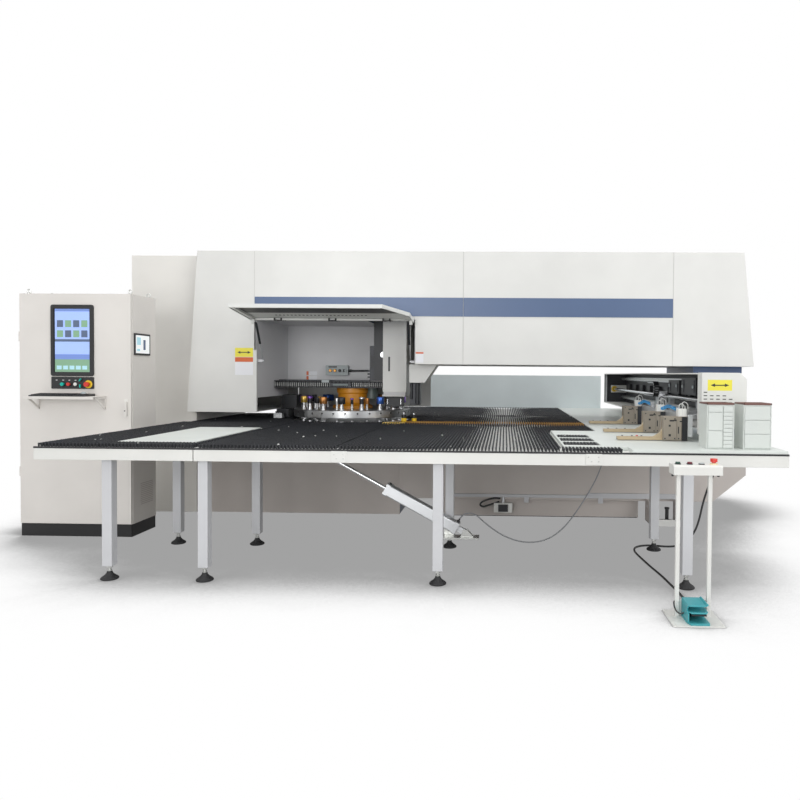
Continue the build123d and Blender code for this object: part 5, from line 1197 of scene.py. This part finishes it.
@dataclass
class Flap:
    """Drop flap with its lever, and the air cylinder that moves it."""

    x: Pair = (-384.0, 14.0)
    y: Pair = (-2770.0, -755.0)
    top_z: float = 880.0
    thickness: float = 36.0
    axis: Pair = (20.0, 866.0)
    cylinder_y: float = -1870.0
    tail: Pair = (803.0, 142.0)
    head: Pair = (-290.0, 734.0)

    def build(self) -> None:
        """Build the flap's tray and dress the cylinder."""
        dress(ALU, "cylinder_barrel", bevel=2.0)
        dress(CHROME, "cylinder_rod")
        dress(ZINC, "cylinder_bracket", bevel=1.5)
        self.tray()
        self.cylinder()

    def tray(self) -> None:
        """Tray with its rim, hinge knuckles and the lever that the cylinder pushes."""
        part = Part("flap_tray")
        (x0, x1), (y0, y1), z = self.x, self.y, self.top_z
        z0 = z - self.thickness
        near, far = y0 + 150, y1 - 150
        part.box(SKIRT, (x0 + 6, x1 - 6, y0 + 6, y1 - 6, z - 6, z))
        part.box(BLACK_PAINT, (x0, x0 + 6, y0, y1, z0, z + 3),
                 (x0 + 6, x1 - 6, y0, y0 + 6, z0, z + 3), (x0 + 6, x1 - 6, y1 - 6, y1, z0, z + 3),
                 *((x1 - 6, x1, a, b, z0, z - 6)
                   for a, b in ((y0, near - 24), (near + 24, far - 24), (far + 24, y1))),
                 (x1 - 6, x1, y0, y1, z - 6, z))
        ax, az = self.axis
        for a, b in ((y0, near - 21), (near + 21, far - 21), (far + 21, y1)):
            part.rod((ax, a, az), (ax, b, az), 9, ZINC, 16)
            part.box(ZINC, (x1 - 4, ax, a, b, az - 3, az + 3))
        for y in (near, far):
            part.rod((ax, y - 22, az), (ax, y + 22, az), 5, CHROME, 12)
        hx, hz = self.head
        lever = [(hx - 26, z - 6), (hx + 44, z - 6), (hx + 16, hz - 16), (hx - 16, hz - 16)]
        for side in (-1, 1):
            inner, outer = self.cylinder_y + side * 20, self.cylinder_y + side * 32
            part.prism(Axis.Y, lever, *sorted((inner, outer)), ZINC)
            part.rod((hx, outer, hz), (hx, outer + side * 5, hz), 12, CHROME, 18, 1)
        part.build("drop_flap", "bristle", 1.0, ("drop_flap",))

    def cylinder(self) -> None:
        """Tie rods and air ports on the barrel."""
        part = Part("cylinder_details")
        (x0, z0), (x1, z1) = self.tail, self.head
        start, line = Vector((x0, self.cylinder_y, z0)), Vector((x1 - x0, 0, z1 - z0)).normalized()
        side = Vector((0, 1, 0))
        other = line.cross(side)
        for a in (-34, 34):
            for b in (-34, 34):
                corner = start + side * a + other * b
                part.rod(corner + line * 64, corner + line * 716, 7, ZINC, 10, 1.5)
        for place in (88, 692):
            base = start + line * place - other * 46
            part.rod(base, base - other * 12, 9, OXIDE, 6, 1)
        part.build("cylinder_barrel", "alu")


# Carriage

@dataclass
class Carriage:
    """Cross beam with its screw, rails and chain, and the clamp carriage in it."""

    x: Pair = (2489.0, 2798.0)
    y: Pair = (-2236.0, 2340.0)
    z: Pair = (1000.0, 1400.0)
    wall: float = 10.0
    screw: Pair = (2620.0, 1190.0)
    clamp_y: tuple[float, ...] = (-531.0, -1481.0, -2159.0)
    clamp_x: Pair = (2250.0, 2425.0)
    clamp_z: Pair = (908.3, 1083.0)
    clamp_half: float = 48.0
    tip_x: float = 1925.0
    end_y: float = -2340.0
    chain_x: Pair = (2528.0, 2578.0)
    chain_bend: Pair = (-560.0, 1248.0)
    chain_runs: Pair = (370.0, 250.0)
    link_half: float = 11.0
    link_pitch: float = 24.0

    def build(self) -> None:
        """Dress the beam and the carriage, and add what they carry."""
        dress(SKIRT, "beam_housing", "beam_end_cover", bevel=3.0)
        dress(CHROME, "ball_screw")
        dress(ALU, "cross_carriage", bevel=1.5)
        dress(CLAMP, "clamp_bodies", bevel=1.5)
        dress(JAW, "clamp_jaws", bevel=1.0)
        self.inside()
        self.end_cover()
        self.chain()
        self.boxes()
        for number, y in enumerate(self.clamp_y):
            self.clamp(number, y)
            self.jaw_studs(number, y)

    def inside(self) -> None:
        """Dark inner walls, rails, screw ends and nut of the beam."""
        part = Part("beam_inner")
        (x0, x1), (y0, y1), (z0, z1), back = self.x, self.y, self.z, self.x[1] - self.wall
        y0, y1, z0, z1 = y0 + self.wall, y1 - self.wall, z0 + self.wall, z1 - self.wall
        part.box(BLACK_PAINT, (back - 1.5, back - 0.2, y0, y1, z0, z1),
                 (x0 + 2, back - 2, y0, y1, z1 - 1.5, z1 - 0.3),
                 (x0 + 2, back - 2, y0 + 0.3, y0 + 1.5, z0, z1),
                 (x0 + 2, back - 2, y1 - 1.5, y1 - 0.3, z0, z1))
        for z in (1060, 1310):
            part.box(STEEL, (x1 - 60.6, back - 20, y0 + 1, y1 - 1, z - 0.6, z + 40.6))
            part.box(ZINC, (x1 - 74, x1 - 60.6, y0 + 2, y1 - 2, z + 10, z + 30))
        sx, sz = self.screw
        bearing = [(19, 0), (36, 0), (40, 4), (40, 30), (36, 34), (19, 34)]
        for y, profile, finish in ((y1 - 46, bearing, OXIDE), (y0 + 12, bearing, OXIDE),
                                   (y1 - 58, [(24, 0), (38, 0), (38, 10), (24, 10)], ABS_YELLOW)):
            part.lathe((sx, y, sz), (0, 1, 0), profile, finish, 28, ring=True)
        part.box(ALU, (2502, 2524, y1 - 12, y1 - 2, z0 + 2, z1 - 3))
        part.box(OXIDE, *((back - 34, back - 2, y, y + 150, 1150, 1262)
                          for y in range(-1900, 2200, 420)))
        part.build("carriage_beam", "dark_metal")

    def end_cover(self) -> None:
        """Vent slots and yellow axis plate of the beam's near end cover."""
        part = Part("end_cover_vents")
        y = self.end_y
        for row, count in enumerate((1, 4, 5, 6, 3)):
            z = 1264 - 24 * row
            # vent slots as black strips just proud of the cover: painted shade for the dark inside
            # of each slot
            part.box(ABS_BLACK, *((2500 + 44 * i, 2524 + 44 * i, y - 1.2, y + 0.5, z - 3, z + 3)
                                  for i in range(count)))
        part.build("carriage_beam", "white_paint")
        AxisPlate("carriage_axis_plate", "carriage_beam", y, (2527.0, 2697.0),
                  (1276.0, 1352.0)).build()

    def chain(self) -> None:
        """Energy chain: separate links round its bend, between two straight runs."""
        part = Part("energy_chain_links")
        (x0, x1), (y, z), (lower, upper) = self.chain_x, self.chain_bend, self.chain_runs
        half, pitch = self.link_half, self.link_pitch
        middle = 52.0 + half
        turns = int(math.pi * middle / pitch)
        bend = [math.pi * i / turns for i in range(turns + 1)]
        links = [((y + lower - i * pitch, z - middle), 0.0) for i in range(int(lower / pitch))]
        links += [((y - middle * math.sin(a), z - middle * math.cos(a)), a) for a in bend]
        links += [((y + i * pitch, z + middle), math.pi) for i in range(1, int(upper / pitch))]
        side, web = block(-10, 10, -half, half), block(-5, 5, 3 - half, half - 3)
        pin = block(-7, 7, -5, 6)
        for centre, angle in links:
            for outline, a, b, finish in ((side, x0, x0 + 6, ABS_BLACK),
                                          (side, x1 - 6, x1, ABS_BLACK),
                                          (web, x0 + 6, x1 - 6, ABS_BLACK),
                                          (pin, x0 - 1.5, x0 + 1, ALU)):
                part.prism(Axis.X, turned(outline, centre, angle), a, b, finish)
        part.build("clamp_carriage", "black_plastic", replaces=("cable_chain",))

    def boxes(self) -> None:
        """Black junction boxes on posts behind the near clamps, with their ribs and glands."""
        part = Part("carriage_junction_boxes")
        for y0, y1, top in ((-1764.0, -1330.0, 1362.0), (-1250.0, -880.0, 1338.0)):
            part.box(ABS_BLACK, (2604, 2716, y0, y1, 1222, top))
            for y in (y0 + 60, y1 - 60):
                part.box(OXIDE, (2600, 2604, y - 26, y + 26, 1240, top - 18))
                part.rod((2592, y, 1290), (2600, y, 1290), 14, ABS_GREY, 20, 2)
        part.box(ABS_BLACK, (2702, 2714, -1503, -1459, 1166, 1226),
                 (2702, 2714, -1122, -1078, 1200, 1226), (2690, 2716, -1340, -1240, 1232, 1262))
        part.build("clamp_carriage", "black_plastic", 2.0)

    def clamp(self, number: int, y: float) -> None:
        """Cover plates, screws, valve block and finger bars of one clamp.

        Args:
            number: Clamp number, for the name.
            y: Middle of the clamp.
        """
        part = Part(f"clamp_{number}_details")
        (x0, x1), (z0, z1), front = self.clamp_x, self.clamp_z, y - self.clamp_half
        part.box(CLAMP, (x0 + 4, x0 + 96, front - 4, front, z0 + 6, z1 - 4),
                 (x0 + 100, x1 - 44, front - 6, front, z0 + 2, z1 - 10))
        part.box(OXIDE, (x1 - 40, x1 - 1, front - 9, front, z0 + 1, z1 - 2))
        for dx, z, w, h in ((46, 1048, 30, 10), (74, 1052, 22, 8), (40, 1010, 14, 14),
                            (40, 940, 16, 16), (118, 1044, 26, 8), (106, 960, 8, 50)):
            part.box(ABS_BLACK, (x0 + dx, x0 + dx + w, front - 6.5, front, z, z + h))
        for dx, z in ((14, 924), (14, 1066), (84, 924), (84, 1066), (112, 924), (150, 1058)):
            part.lathe((x0 + dx, front - 4, z), FRONT, [(5, 0), (5, 2.5), (2.5, 2.6)], OXIDE, 10)
        part.box(JAW, (self.tip_x + 2, x0 + 60, y - 26, y - 22.2, z0 + 2, z0 + 20))
        part.box(ZINC, (self.tip_x + 60, x0 - 30, y - 24, y + 24, z0 + 11, z0 + 12.8))
        bx = x0 + 118
        part.box(ABS_WHITE, (bx - 4, bx + 54, y - 34, y + 34, z1, z1 + 56))
        part.box(LINING, *((x - 4, x - 1, y - 35, y - 33.9, z1 + 8, z1 + 50)
                           for x in (bx + 6, bx + 26, bx + 46)))
        for x in (bx + 12, bx + 38):
            part.rod((x, y, z1 + 56), (x, y, z1 + 68), 7, ABS_BLACK, 12, 1)
        for dx, rise, finish in ((8, 92, PA_WHITE), (30, 106, PA_WHITE), (20, 120, PVC_BLACK)):
            x, crest = bx + dx, z1 + rise
            part.pipe([(x, y - 18, z1 + 58), (x - 6, y - 20, crest - 14), (x + 12, y - 22, crest),
                       (x + 34, y - 20, crest - 18), (x + 40, y - 10, z1 + 60),
                       (x + 44, y + 4, z1 + 20)], 3.2, finish, 8)
        part.build("clamp_carriage", "bright_steel", 0.8)

    def jaw_studs(self, number: int, y: float) -> None:
        """Dark studs on one clamp's upper jaw, and the red spot on the nearest one.

        Args:
            number: Clamp number, for the name.
            y: Middle of the clamp.
        """
        part = Part(f"clamp_{number}_jaw_studs")
        top = self.clamp_z[0] + 29.0
        studs = [(40, 3, 7, OXIDE), (110, 3, 7, OXIDE), (180, 3, 7, OXIDE)]
        if number == 2:
            studs.append((146, 4, 9, ABS_RED))
        for dx, rise, radius, finish in studs:
            x = self.tip_x + dx
            part.rod((x, y, top - 1), (x, y, top + rise), radius, finish, 16, 1)
        part.build("clamp_jaws", "bright_steel")


# Cabinet

@dataclass
class Cabinet:
    """Control cabinet with its screen, buttons, shelf and keyboard."""

    x: Pair = (-2918.0, -1980.0)
    front_y: float = -1615.0
    rear_y: float = -1221.0
    height: float = 2018.0
    bezel: Rect = (-2645.0, -2288.0, 1335.0, 1923.0)
    panel: Rect = (-2645.0, -2288.0, 1230.0, 1328.0)
    button_z: float = 1268.0
    shelf: Pair = (-2758.0, -2185.0)
    shelf_z: float = 1172.0

    def build(self) -> None:
        """Dress the cabinet and add what is fixed on it."""
        dress(CABINET, "cabinet_shell", "cabinet_door", bevel=3.0)
        dress(CABINET, "door_handle")
        dress(ABS_GREEN, "start_button")
        dress(ABS_RED, "stop_button", "cabinet_estop")
        self.screen()
        self.buttons()
        self.shelf_and_brackets()
        self.keyboard()
        self.side()
        self.plinth_and_eyes()
        self.lock()

    def screen(self) -> None:
        """Rounded bezel round a lit picture of plain bands and blocks."""
        part = Part("operator_screen")
        x0, x1, z0, z1 = self.bezel
        y = self.front_y
        outer, inner = rounded(x0, x1, z0, z1, 18), rounded(x0 + 26, x1 - 26, z0 + 26, z1 - 26, 8)
        n, m = len(outer), 2 * len(outer)
        loops = []
        for i in range(n):
            j = (i + 1) % n
            loops += [(i, j, n + j, n + i), (m + j, m + i, m + n + i, m + n + j),
                      (j, i, m + i, m + j), (n + i, n + j, m + n + j, m + n + i)]
        corners = [(x, w, z) for w in (y - 14, y + 2) for x, z in (*outer, *inner)]
        part.faces(corners, loops, ABS_BLACK)
        part.box(ABS_BLACK, (x0 + 16, x1 - 16, y, y + 38, z0 + 14, z1 - 14))
        part.box(GLASS, (x0 + 25, x1 - 25, y - 8, y + 1, z0 + 25, z1 - 25))
        left, right, low, high = x0 + 34, x1 - 34, z0 + 34, z1 - 34
        width, height = right - left, high - low
        part.box(SCREEN_SKY, (left, right, y - 9, y - 7.9, low, high))
        for a, b, finish in ((0.0, 0.2, SCREEN_GREEN), (0.2, 0.28, SCREEN_DEEP),
                             (0.48, 0.52, SCREEN_SLATE), (0.96, 1.0, SCREEN_DEEP)):
            part.box(finish, (left, right, y - 9.5, y - 8.9, low + a * height, low + b * height))
        for i in range(4):
            for j in range(2):
                bx, bz = left + (0.06 + 0.235 * i) * width, low + (0.55 + 0.16 * j) * height
                part.box(SCREEN_SLATE if (i + j) % 2 else SCREEN_GREEN,
                         (bx, bx + 0.18 * width, y - 9.8, y - 8.9, bz, bz + 0.11 * height))
        for bx in (left + (0.05 + 0.185 * i) * width for i in range(5)):
            part.box(SCREEN_PALE, (bx, bx + 0.14 * width, y - 9.8, y - 9.3, low + 0.04 * height,
                                   low + 0.1 * height))
        part.build("cabinet_door", "screen_panel", 0.8, ("operator_panel",))

    def buttons(self) -> None:
        """Black button plate with collars, selectors, white button and yellow disc."""
        part = Part("button_plate")
        y, z = self.front_y, self.button_z
        buttons = (-2544, -2493, -2441)
        part.prism(Axis.Y, rounded(*self.panel, 6), y - 7, y, ABS_BLACK)
        for x in buttons:
            part.lathe((x, y - 7, z), FRONT, [(15, 0), (19, 0), (19, 3), (17, 5), (15, 5)],
                       ABS_BLACK, ring=True)
        part.rod((buttons[-1], y - 19, z), (buttons[-1], y - 7, z), 14, ABS_WHITE, 24, 2)
        part.lathe((-2333, y - 7, z), FRONT, [(13, 0), (33, 0), (33, 3), (30, 4), (13, 4)],
                   ABS_YELLOW, 32, ring=True)
        for sz, tilt in ((1254, 0.0), (1304, 0.6)):
            part.rod((-2396, y - 12, sz), (-2396, y - 7, sz), 13, ABS_BLACK, 24, 2)
            grip = turned(block(-4, 4, -13, 13), (-2396, sz), -tilt)
            part.prism(Axis.Y, grip, y - 25, y - 11, ABS_GREEN)
        part.box(LINING, *((x - 7, x + 7, y - 7.8, y - 6.9, 1298, 1304) for x in (-2600, *buttons)))
        part.build("cabinet_door", "black_plastic", 0.8)

    def shelf_and_brackets(self) -> None:
        """Folded shelf on two cut-out triangular brackets."""
        part = Part("keyboard_shelf_folded")
        (x0, x1), z, y1 = self.shelf, self.shelf_z, self.front_y
        y0 = y1 - 185
        part.box(CABINET, (x0, x1, y0, y1, z - 4, z), (x0, x1, y0, y0 + 3, z - 22, z - 4))
        bars = ([(y0 + 30, z - 4), (y1, z - 4), (y1, z - 20), (y0 + 50, z - 20)],
                block(y1 - 14, y1, z - 112, z - 20),
                [(y0 + 30, z - 14), (y1 - 12, z - 112), (y1 - 4, z - 96), (y0 + 62, z - 16)])
        for x in (x0 + 4, x1 - 14):
            for bar in bars:
                part.prism(Axis.X, bar, x, x + 10, CABINET)
        part.build("cabinet_door", "white_paint", 1.0, ("keyboard_shelf",))

    def keyboard(self) -> None:
        """Keyboard with rows of keys and a trackball at its right end."""
        part = Part("keyboard_keys")
        z, y0 = self.shelf_z, self.front_y - 172
        x0, x1 = -2722.0, -2262.0
        part.prism(Axis.X, [(y0, z), (y0 + 140, z), (y0 + 140, z + 20), (y0, z + 9)], x0, x1,
                   ABS_BLACK)
        for row in range(6):
            y, lift = y0 + 14 + row * 20, z + 10 + 1.5 * row
            part.box(OXIDE, *((x0 + 10 + k * 20, x0 + 27 + k * 20, y, y + 16, lift, lift + 5.5)
                              for k in range(17)))
        ball = (x1 - 52, y0 + 66, z)
        part.lathe(ball, UP, [(40, 12), (38, 20), (26, 23), (22, 23)], ABS_BLACK, 28)
        part.lathe(ball, UP, [(21, 22), (19, 29), (12, 36), (0, 39)], ABS_GREY)
        part.build("cabinet_door", "black_plastic", 1.2, ("keyboard",))

    def side(self) -> None:
        """Side screen and vents."""
        part = Part("cabinet_side_fittings")
        x = self.x[1]
        part.prism(Axis.X, block(-1572, -1325, 1515, 1697), x, x + 9, ABS_BLACK)
        part.box(SCREEN_WHITE, (x + 8, x + 9.6, -1556, -1341, 1531, 1681))
        part.box(SCREEN_PALE, (x + 8, x + 10.1, -1540, -1478, 1600, 1664),
                 (x + 8, x + 10.1, -1540, -1490, 1548, 1568))
        part.box(SCREEN_SLATE, (x + 8, x + 10.1, -1440, -1404, 1560, 1646))
        part.box(LOWER, *((x - 0.5, x + 1.5, -1473, -1272, z, z + 7) for z in range(246, 438, 16)))
        part.build("machine", "screen_panel", 0.5)

    def plinth_and_eyes(self) -> None:
        """Plinth skin and bright lifting eyes."""
        part = Part("cabinet_plinth_skin")
        x0, x1, y0, y1 = self.x[0] + 3, self.x[1] - 3, self.front_y + 11, self.rear_y - 4
        part.box(PLINTH, (x0, x1, y0, y0 + 2, 1, 105.5), (x0, x0 + 2, y0, y1, 1, 105.5),
                 (x1 - 2, x1, y0, y1, 1, 105.5), (x0, x1, y1 - 1, y1 + 1, 1, 105.5))
        eye = [(15 + 5.6 * math.cos(a), 5.6 * math.sin(a))
               for a in (math.radians(45 * i) for i in range(8))]
        for x in (x0 + 37, x1 - 37):
            for y in (self.front_y + 66, self.rear_y - 40):
                part.lathe((x, y, self.height + 22), (0, 1, 0), eye, ZINC, ring=True)
                part.lathe((x, y, self.height), UP, [(14, 0), (14, 6), (10, 9)], ZINC, 20)
        part.build("machine", "dark_metal")

    def lock(self) -> None:
        """Plate behind the door's swing handle, and the key spot on the handle."""
        y = self.front_y
        plate = Part("door_lock_plate")
        plate.prism(Axis.Y, rounded(-2036, -2004, 996, 1150, 5), y - 4, y, HOUSING)
        plate.build("cabinet_door", "white_paint", 0.8)
        key = Part("door_key_spot")
        key.rod((-2020, y - 27.5, 1052), (-2020, y - 25.5, 1052), 5, BLACK_PAINT, 16)
        key.build("door_handle", "white_paint")


# Stand and drawers

@dataclass
class Stand:
    """Push-button stand with its foot pedal."""

    box_top: float = 876.0
    button_x: tuple[float, ...] = (2090.0, 2157.0, 2224.0, 2293.0)
    button_y: float = -3268.0

    def build(self) -> None:
        """Dress the stand and add its fittings."""
        dress(SKIRT, "pendant_stand", bevel=1.5)
        dress(ABS_DARK_GREEN, "stand_button_left")
        dress(ABS_DARK_RED, "stand_button_right")
        dress(ABS_RED, "stand_estop")
        dress(OXIDE, "pedal_lever", bevel=1.0)
        self.pedal()
        self.collars()

    def collars(self) -> None:
        """Collars round the buttons, the third button and the box's two knobs."""
        part = Part("stand_fittings")
        places = [(x, self.button_y, self.box_top) for x in self.button_x]
        for place in places[:3]:
            part.lathe(place, UP, [(15, 0), (18, 0), (18, 4), (15, 5)], ABS_BLACK, ring=True)
        part.lathe(places[2], UP, [(14.5, 0), (14.5, 7), (12, 9), (0, 9)], ABS_GREY)
        part.lathe(places[3], UP, [(13, 0), (23, 0), (20, 8), (13, 10)], ABS_CREAM, 28, ring=True)
        for x in (2064, 2322):
            part.rod((x, -3262, 806), (x, -3262, 820), 8, ABS_BLACK, 16, 2)
        part.build("machine", "black_plastic")

    def pedal(self) -> None:
        """Cast pedal: base, left side, set-back wall, flange over the treadle and curled top."""
        part = Part("foot_pedal_casting")
        side = [(-3254, 17), (-3254, 104), (-3388, 108), (-3372, 76), (-3398, 62), (-3398, 17)]
        part.prism(Axis.X, side, 2124, 2132, TEAL)
        base = [(2136, -3418), (2240, -3418), (2244, -3402), (2240, -3254), (2122, -3254),
                (2122, -3376)]
        top = [(2126, -3390), (2136, -3400), (2226, -3400), (2232, -3390), (2232, -3256),
               (2126, -3256)]
        flange = [(2130, -3390), (2146, -3402), (2222, -3402), (2238, -3388), (2238, -3304),
                  (2130, -3304)]
        for outline, z0, z1 in ((base, 6, 17), (top, 104, 112), (flange, 67, 74)):
            part.prism(Axis.Z, outline, z0, z1, TEAL)
        part.box(TEAL, (2132, 2236, -3262, -3254, 17, 108), (2132, 2226, -3312, -3303, 68, 106),
                 (2131, 2140, -3302, -3274, 16, 46), (2230, 2239, -3302, -3274, 16, 46))
        part.rod((2232, -3398, 113), (2232, -3258, 113), 6, TEAL, 20, 2)
        part.rod((2140, -3400, 69), (2230, -3400, 69), 5, TEAL, 20, 2)
        part.rod((2131, -3288, 36), (2239, -3288, 36), 5, ZINC, 18)
        part.pipe([(2126, -3316, 44), (2108, -3314, 36), (2090, -3304, 42), (2079, -3288, 58),
                   (2078, -3268, 82), (2086, -3254, 90)], 4.0, PVC_BLACK, 12)
        part.build("machine", "teal_cast", 1.6, ("pedal_guard",))


@dataclass
class Drawers:
    """Two small drawer units on the front right table."""

    y: Pair = (-2716.0, -2536.0)
    z0: float = 905.0
    height: float = 300.0
    left_unit: Pair = (2414.0, 2590.0)
    right_unit: Pair = (2650.0, 2830.0)

    def build(self) -> None:
        """Build both units: shell, rim and drawer fronts with finger gaps."""
        part = Part("small_drawer_units")
        (y0, y1), z0, z1 = self.y, self.z0, self.z0 + self.height
        rim = z1 - 12
        for x0, x1 in (self.left_unit, self.right_unit):
            part.box(DRAWER, (x0, x1, y0 + 8, y1, z0, z1 - 10),
                     (x0, x0 + 7, y0 + 2, y0 + 8, z0, rim), (x1 - 7, x1, y0 + 2, y0 + 8, z0, rim))
            part.box(RIM_BROWN, (x0, x1, y0, y0 + 6, rim, z1), (x0, x1, y1 - 6, y1, rim, z1),
                     (x0, x0 + 6, y0, y1, rim, z1), (x1 - 6, x1, y0, y1, rim, z1))
        x0, x1 = self.left_unit
        middle = x0 + 0.6 * (x1 - x0)
        self.column(part, x0 + 9, middle - 4, (0.36, 0.38, 0.13))
        self.column(part, middle + 2, x1 - 9, (0.085,) * 9 + (0.13,))
        x0, x1 = self.right_unit
        self.column(part, x0 + 9, x1 - 9, (0.31, 0.3, 0.3))
        part.build("machine", "white_paint", 1.2, ("tool_drawers",))

    def column(self, part: Part, x0: float, x1: float, shares: tuple[float, ...]) -> None:
        """Stack drawer fronts in one column.

        Args:
            part: Piece that gets the fronts.
            x0: Left side of the column.
            x1: Right side of the column.
            shares: Height of each front, from the bottom, as shares of the unit's height.
        """
        y0, z = self.y[0], self.z0 + 6
        scale = (self.height - 26) / sum(shares)
        for share in shares:
            part.box(DRAWER, (x0, x1, y0, y0 + 7, z + 1.5, z + share * scale - 1.5))
            z += share * scale


# Cords

@dataclass
class Cord:
    """A free hose or cable: one smooth curve through its route's points."""

    name: str
    body: str
    finish: Finish
    radius: float
    route: list[Point]
    length: float
    lay: str
    slot: str
    replaces: tuple[str, ...] = ()

    def curve(self, points: list[Point], name: str, resolution: int) -> bpy.types.Object:
        """Make an open spline with these control points.

        Args:
            points: Control points in millimetres.
            name: Name of the object.
            resolution: Steps between control points.

        Returns:
            The curve object, without thickness.
        """
        data = bpy.data.curves.new(name, "CURVE")
        data.dimensions = "3D"
        spline = data.splines.new("NURBS")
        spline.points.add(len(points) - 1)
        for point, place in zip(spline.points, points):
            point.co = (*(MM * value for value in place), 1.0)
        spline.order_u = 3
        spline.use_endpoint_u = True
        spline.resolution_u = resolution
        return show(name, data)

    def build(self) -> None:
        self.declare(self.curve(self.route, self.name, 8))

    def declare(self, made: bpy.types.Object) -> None:
        """Give the curve its thickness, finish and body.

        Args:
            made: Curve object.
        """
        made.data.bevel_depth = self.radius * MM
        made.data.bevel_resolution = 2
        made.data.use_fill_caps = True
        made.data.materials.append(self.finish.material())
        attach(made, self.body, self.slot, self.replaces)


@dataclass
class CoiledCord(Cord):
    """A hose wound into a springy coil along its route."""

    coil_radius: float = 11.0
    turn_pitch: float = 22.0
    lead: float = 24.0
    steps: int = 12
    # the smooth curve cuts the corners of its control points and comes out a little shorter
    shortening: float = 0.985

    def build(self) -> None:
        guide = self.curve(self.route, self.name + "_guide", 24)
        bpy.context.view_layer.update()
        mesh = bpy.data.meshes.new_from_object(guide)
        line = [v.co / MM for v in mesh.vertices]
        bpy.data.objects.remove(guide)
        reached = [0.0]
        for a, b in zip(line, line[1:]):
            reached.append(reached[-1] + (b - a).length)
        wound = reached[-1] - 2 * self.lead
        count = self.steps * int(wound / self.turn_pitch)
        normal = (line[1] - line[0]).orthogonal().normalized()
        points: list[Vector] = []
        k = 0
        for i in range(count + 1):
            reach = self.lead + wound * i / count
            while k < len(reached) - 2 and reached[k + 1] < reach:
                k += 1
            share = (reach - reached[k]) / (reached[k + 1] - reached[k])
            ahead = (line[k + 1] - line[k]).normalized()
            normal = (normal - ahead * normal.dot(ahead)).normalized()
            turn = 2 * math.pi * i / self.steps
            out = self.coil_radius * min(1.0, i / 10, (count - i) / 10)
            points.append(line[k].lerp(line[k + 1], share)
                          + out * (math.cos(turn) * normal + math.sin(turn) * ahead.cross(normal)))
        first, last = line[0], line[-1]
        points = [first, first.lerp(points[0], 0.5), *points, last.lerp(points[-1], 0.5), last]
        self.length = sum((b - a).length for a, b in zip(points, points[1:])) * MM * self.shortening
        self.declare(self.curve(points, self.name, 3))


@dataclass
class Cords:
    """Every hose and cable that lies, hangs or is coiled."""

    clamp_y: tuple[float, ...] = (-531.0, -1481.0, -2159.0)
    block_offsets: Pair = (410.0, 380.0)
    air_hose: tuple[Point, ...] = (
        (749.5, -1870, 225.8), (768.6, -1870, 261), (800, -1869, 287), (845, -1867, 295),
        (893, -1865, 276), (940, -1862, 232), (1000, -1858, 182), (1075, -1854, 130),
        (1160, -1850, 90), (1252, -1848, 66), (1346, -1846, 64), (1438, -1846, 86),
        (1520, -1846, 134), (1592, -1848, 204), (1656, -1850, 290), (1716, -1852, 382),
        (1774, -1854, 480), (1826, -1856, 582), (1866, -1858, 690), (1888, -1860, 788),
        (1892, -1860, 846), (1892, -1860, 874))
    # from under the table over the floor to the stand
    cable: tuple[Point, ...] = (
        (2806, -1762, 800), (2806, -1762, 764), (2797, -1764, 716), (2774, -1767, 648),
        (2738, -1768, 568), (2702, -1766, 472), (2672, -1764, 366), (2650, -1762, 250),
        (2618, -1760, 150), (2562, -1756, 74), (2486, -1740, 24), (2400, -1700, 9),
        (2312, -1664, 9), (2226, -1670, 9), (2160, -1722, 9), (2128, -1804, 9), (2124, -1906, 9),
        (2134, -2026, 9), (2146, -2156, 9), (2160, -2290, 9), (2178, -2424, 9), (2192, -2556, 9),
        (2200, -2684, 9), (2210, -2804, 9), (2214, -2916, 9), (2208, -3018, 18),
        (2194, -3104, 48), (2180, -3172, 76), (2178, -3212, 82), (2178, -3247, 82))

    def coil(self, start_y: float, end_y: float) -> list[Point]:
        """Route of one coiled hose, from a clamp's valve block to its block on the carriage."""
        length = end_y - start_y
        x0, x1, z = 2393.0, 2442.0, 1109.0
        return [(x0, start_y, z), (x0, start_y + 0.21 * length, z),
                (x0 + 0.43 * (x1 - x0), start_y + 0.47 * length, z + 0.09 * abs(length)),
                (x1, start_y + 0.77 * length, z + 9), (x1, end_y, z + 9)]

    def build(self) -> None:
        """Build all cords."""
        Cord("stand_cable", "machine", PVC_BLACK, 8.0, self.cable, 2.77, "loose", "rubber_black",
             ("pendant_cable",)).build()
        Cord("cylinder_air_hose", "machine", PVC_SMOKE, 5.0, self.air_hose, 1.73, "hanging",
             "rubber_black", ("air_hose",)).build()
        self.sleeves()
        first, second, third = self.clamp_y
        near, far = self.block_offsets
        ends = ((first - 30, first - near), (second - 30, second - far),
                (third + 30, second - far - 30))
        for number, (start, end) in enumerate(ends):
            CoiledCord(f"air_coil_{number}", "clamp_carriage", PU_BLUE, 3.0, self.coil(start, end),
                       1.0, "coiled", "blue_hose", ("air_coils",) if number == 0 else ()).build()

    def sleeves(self) -> None:
        """Tapered rubber sleeves and push-in fittings where a cord leaves a housing."""
        part = Part("cord_sleeves")
        cable, hose = self.cable, self.air_hose
        for a, b, r, reach in ((cable[0], cable[1], 8.0, 34), (cable[-1], cable[-2], 8.0, 28),
                               (hose[0], hose[1], 5.0, 26), (hose[-1], hose[-2], 5.0, 24)):
            sleeve = [(r + 6, -1), (r + 6, 5), (r + 3.5, 9), (r + 0.8, reach)]
            part.lathe(a, Vector(b) - Vector(a), sleeve, RUBBER, 20)
        part.build("machine", "rubber_black", 0.6)


def main() -> None:
    """Build the studio and every sub-assembly."""
    logging.basicConfig(level=logging.INFO, format="%(name)s %(message)s")
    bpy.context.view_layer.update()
    bpy.context.scene.view_settings.view_transform = "Standard"
    for assembly in (Studio(), Cords(), Covers(), TurretBay(), Turret(), Guard(), Tables(), Flap(),
                     Carriage(), Cabinet(), Stand(), Drawers()):
        assembly.build()


if __name__ == "__main__":
    main()
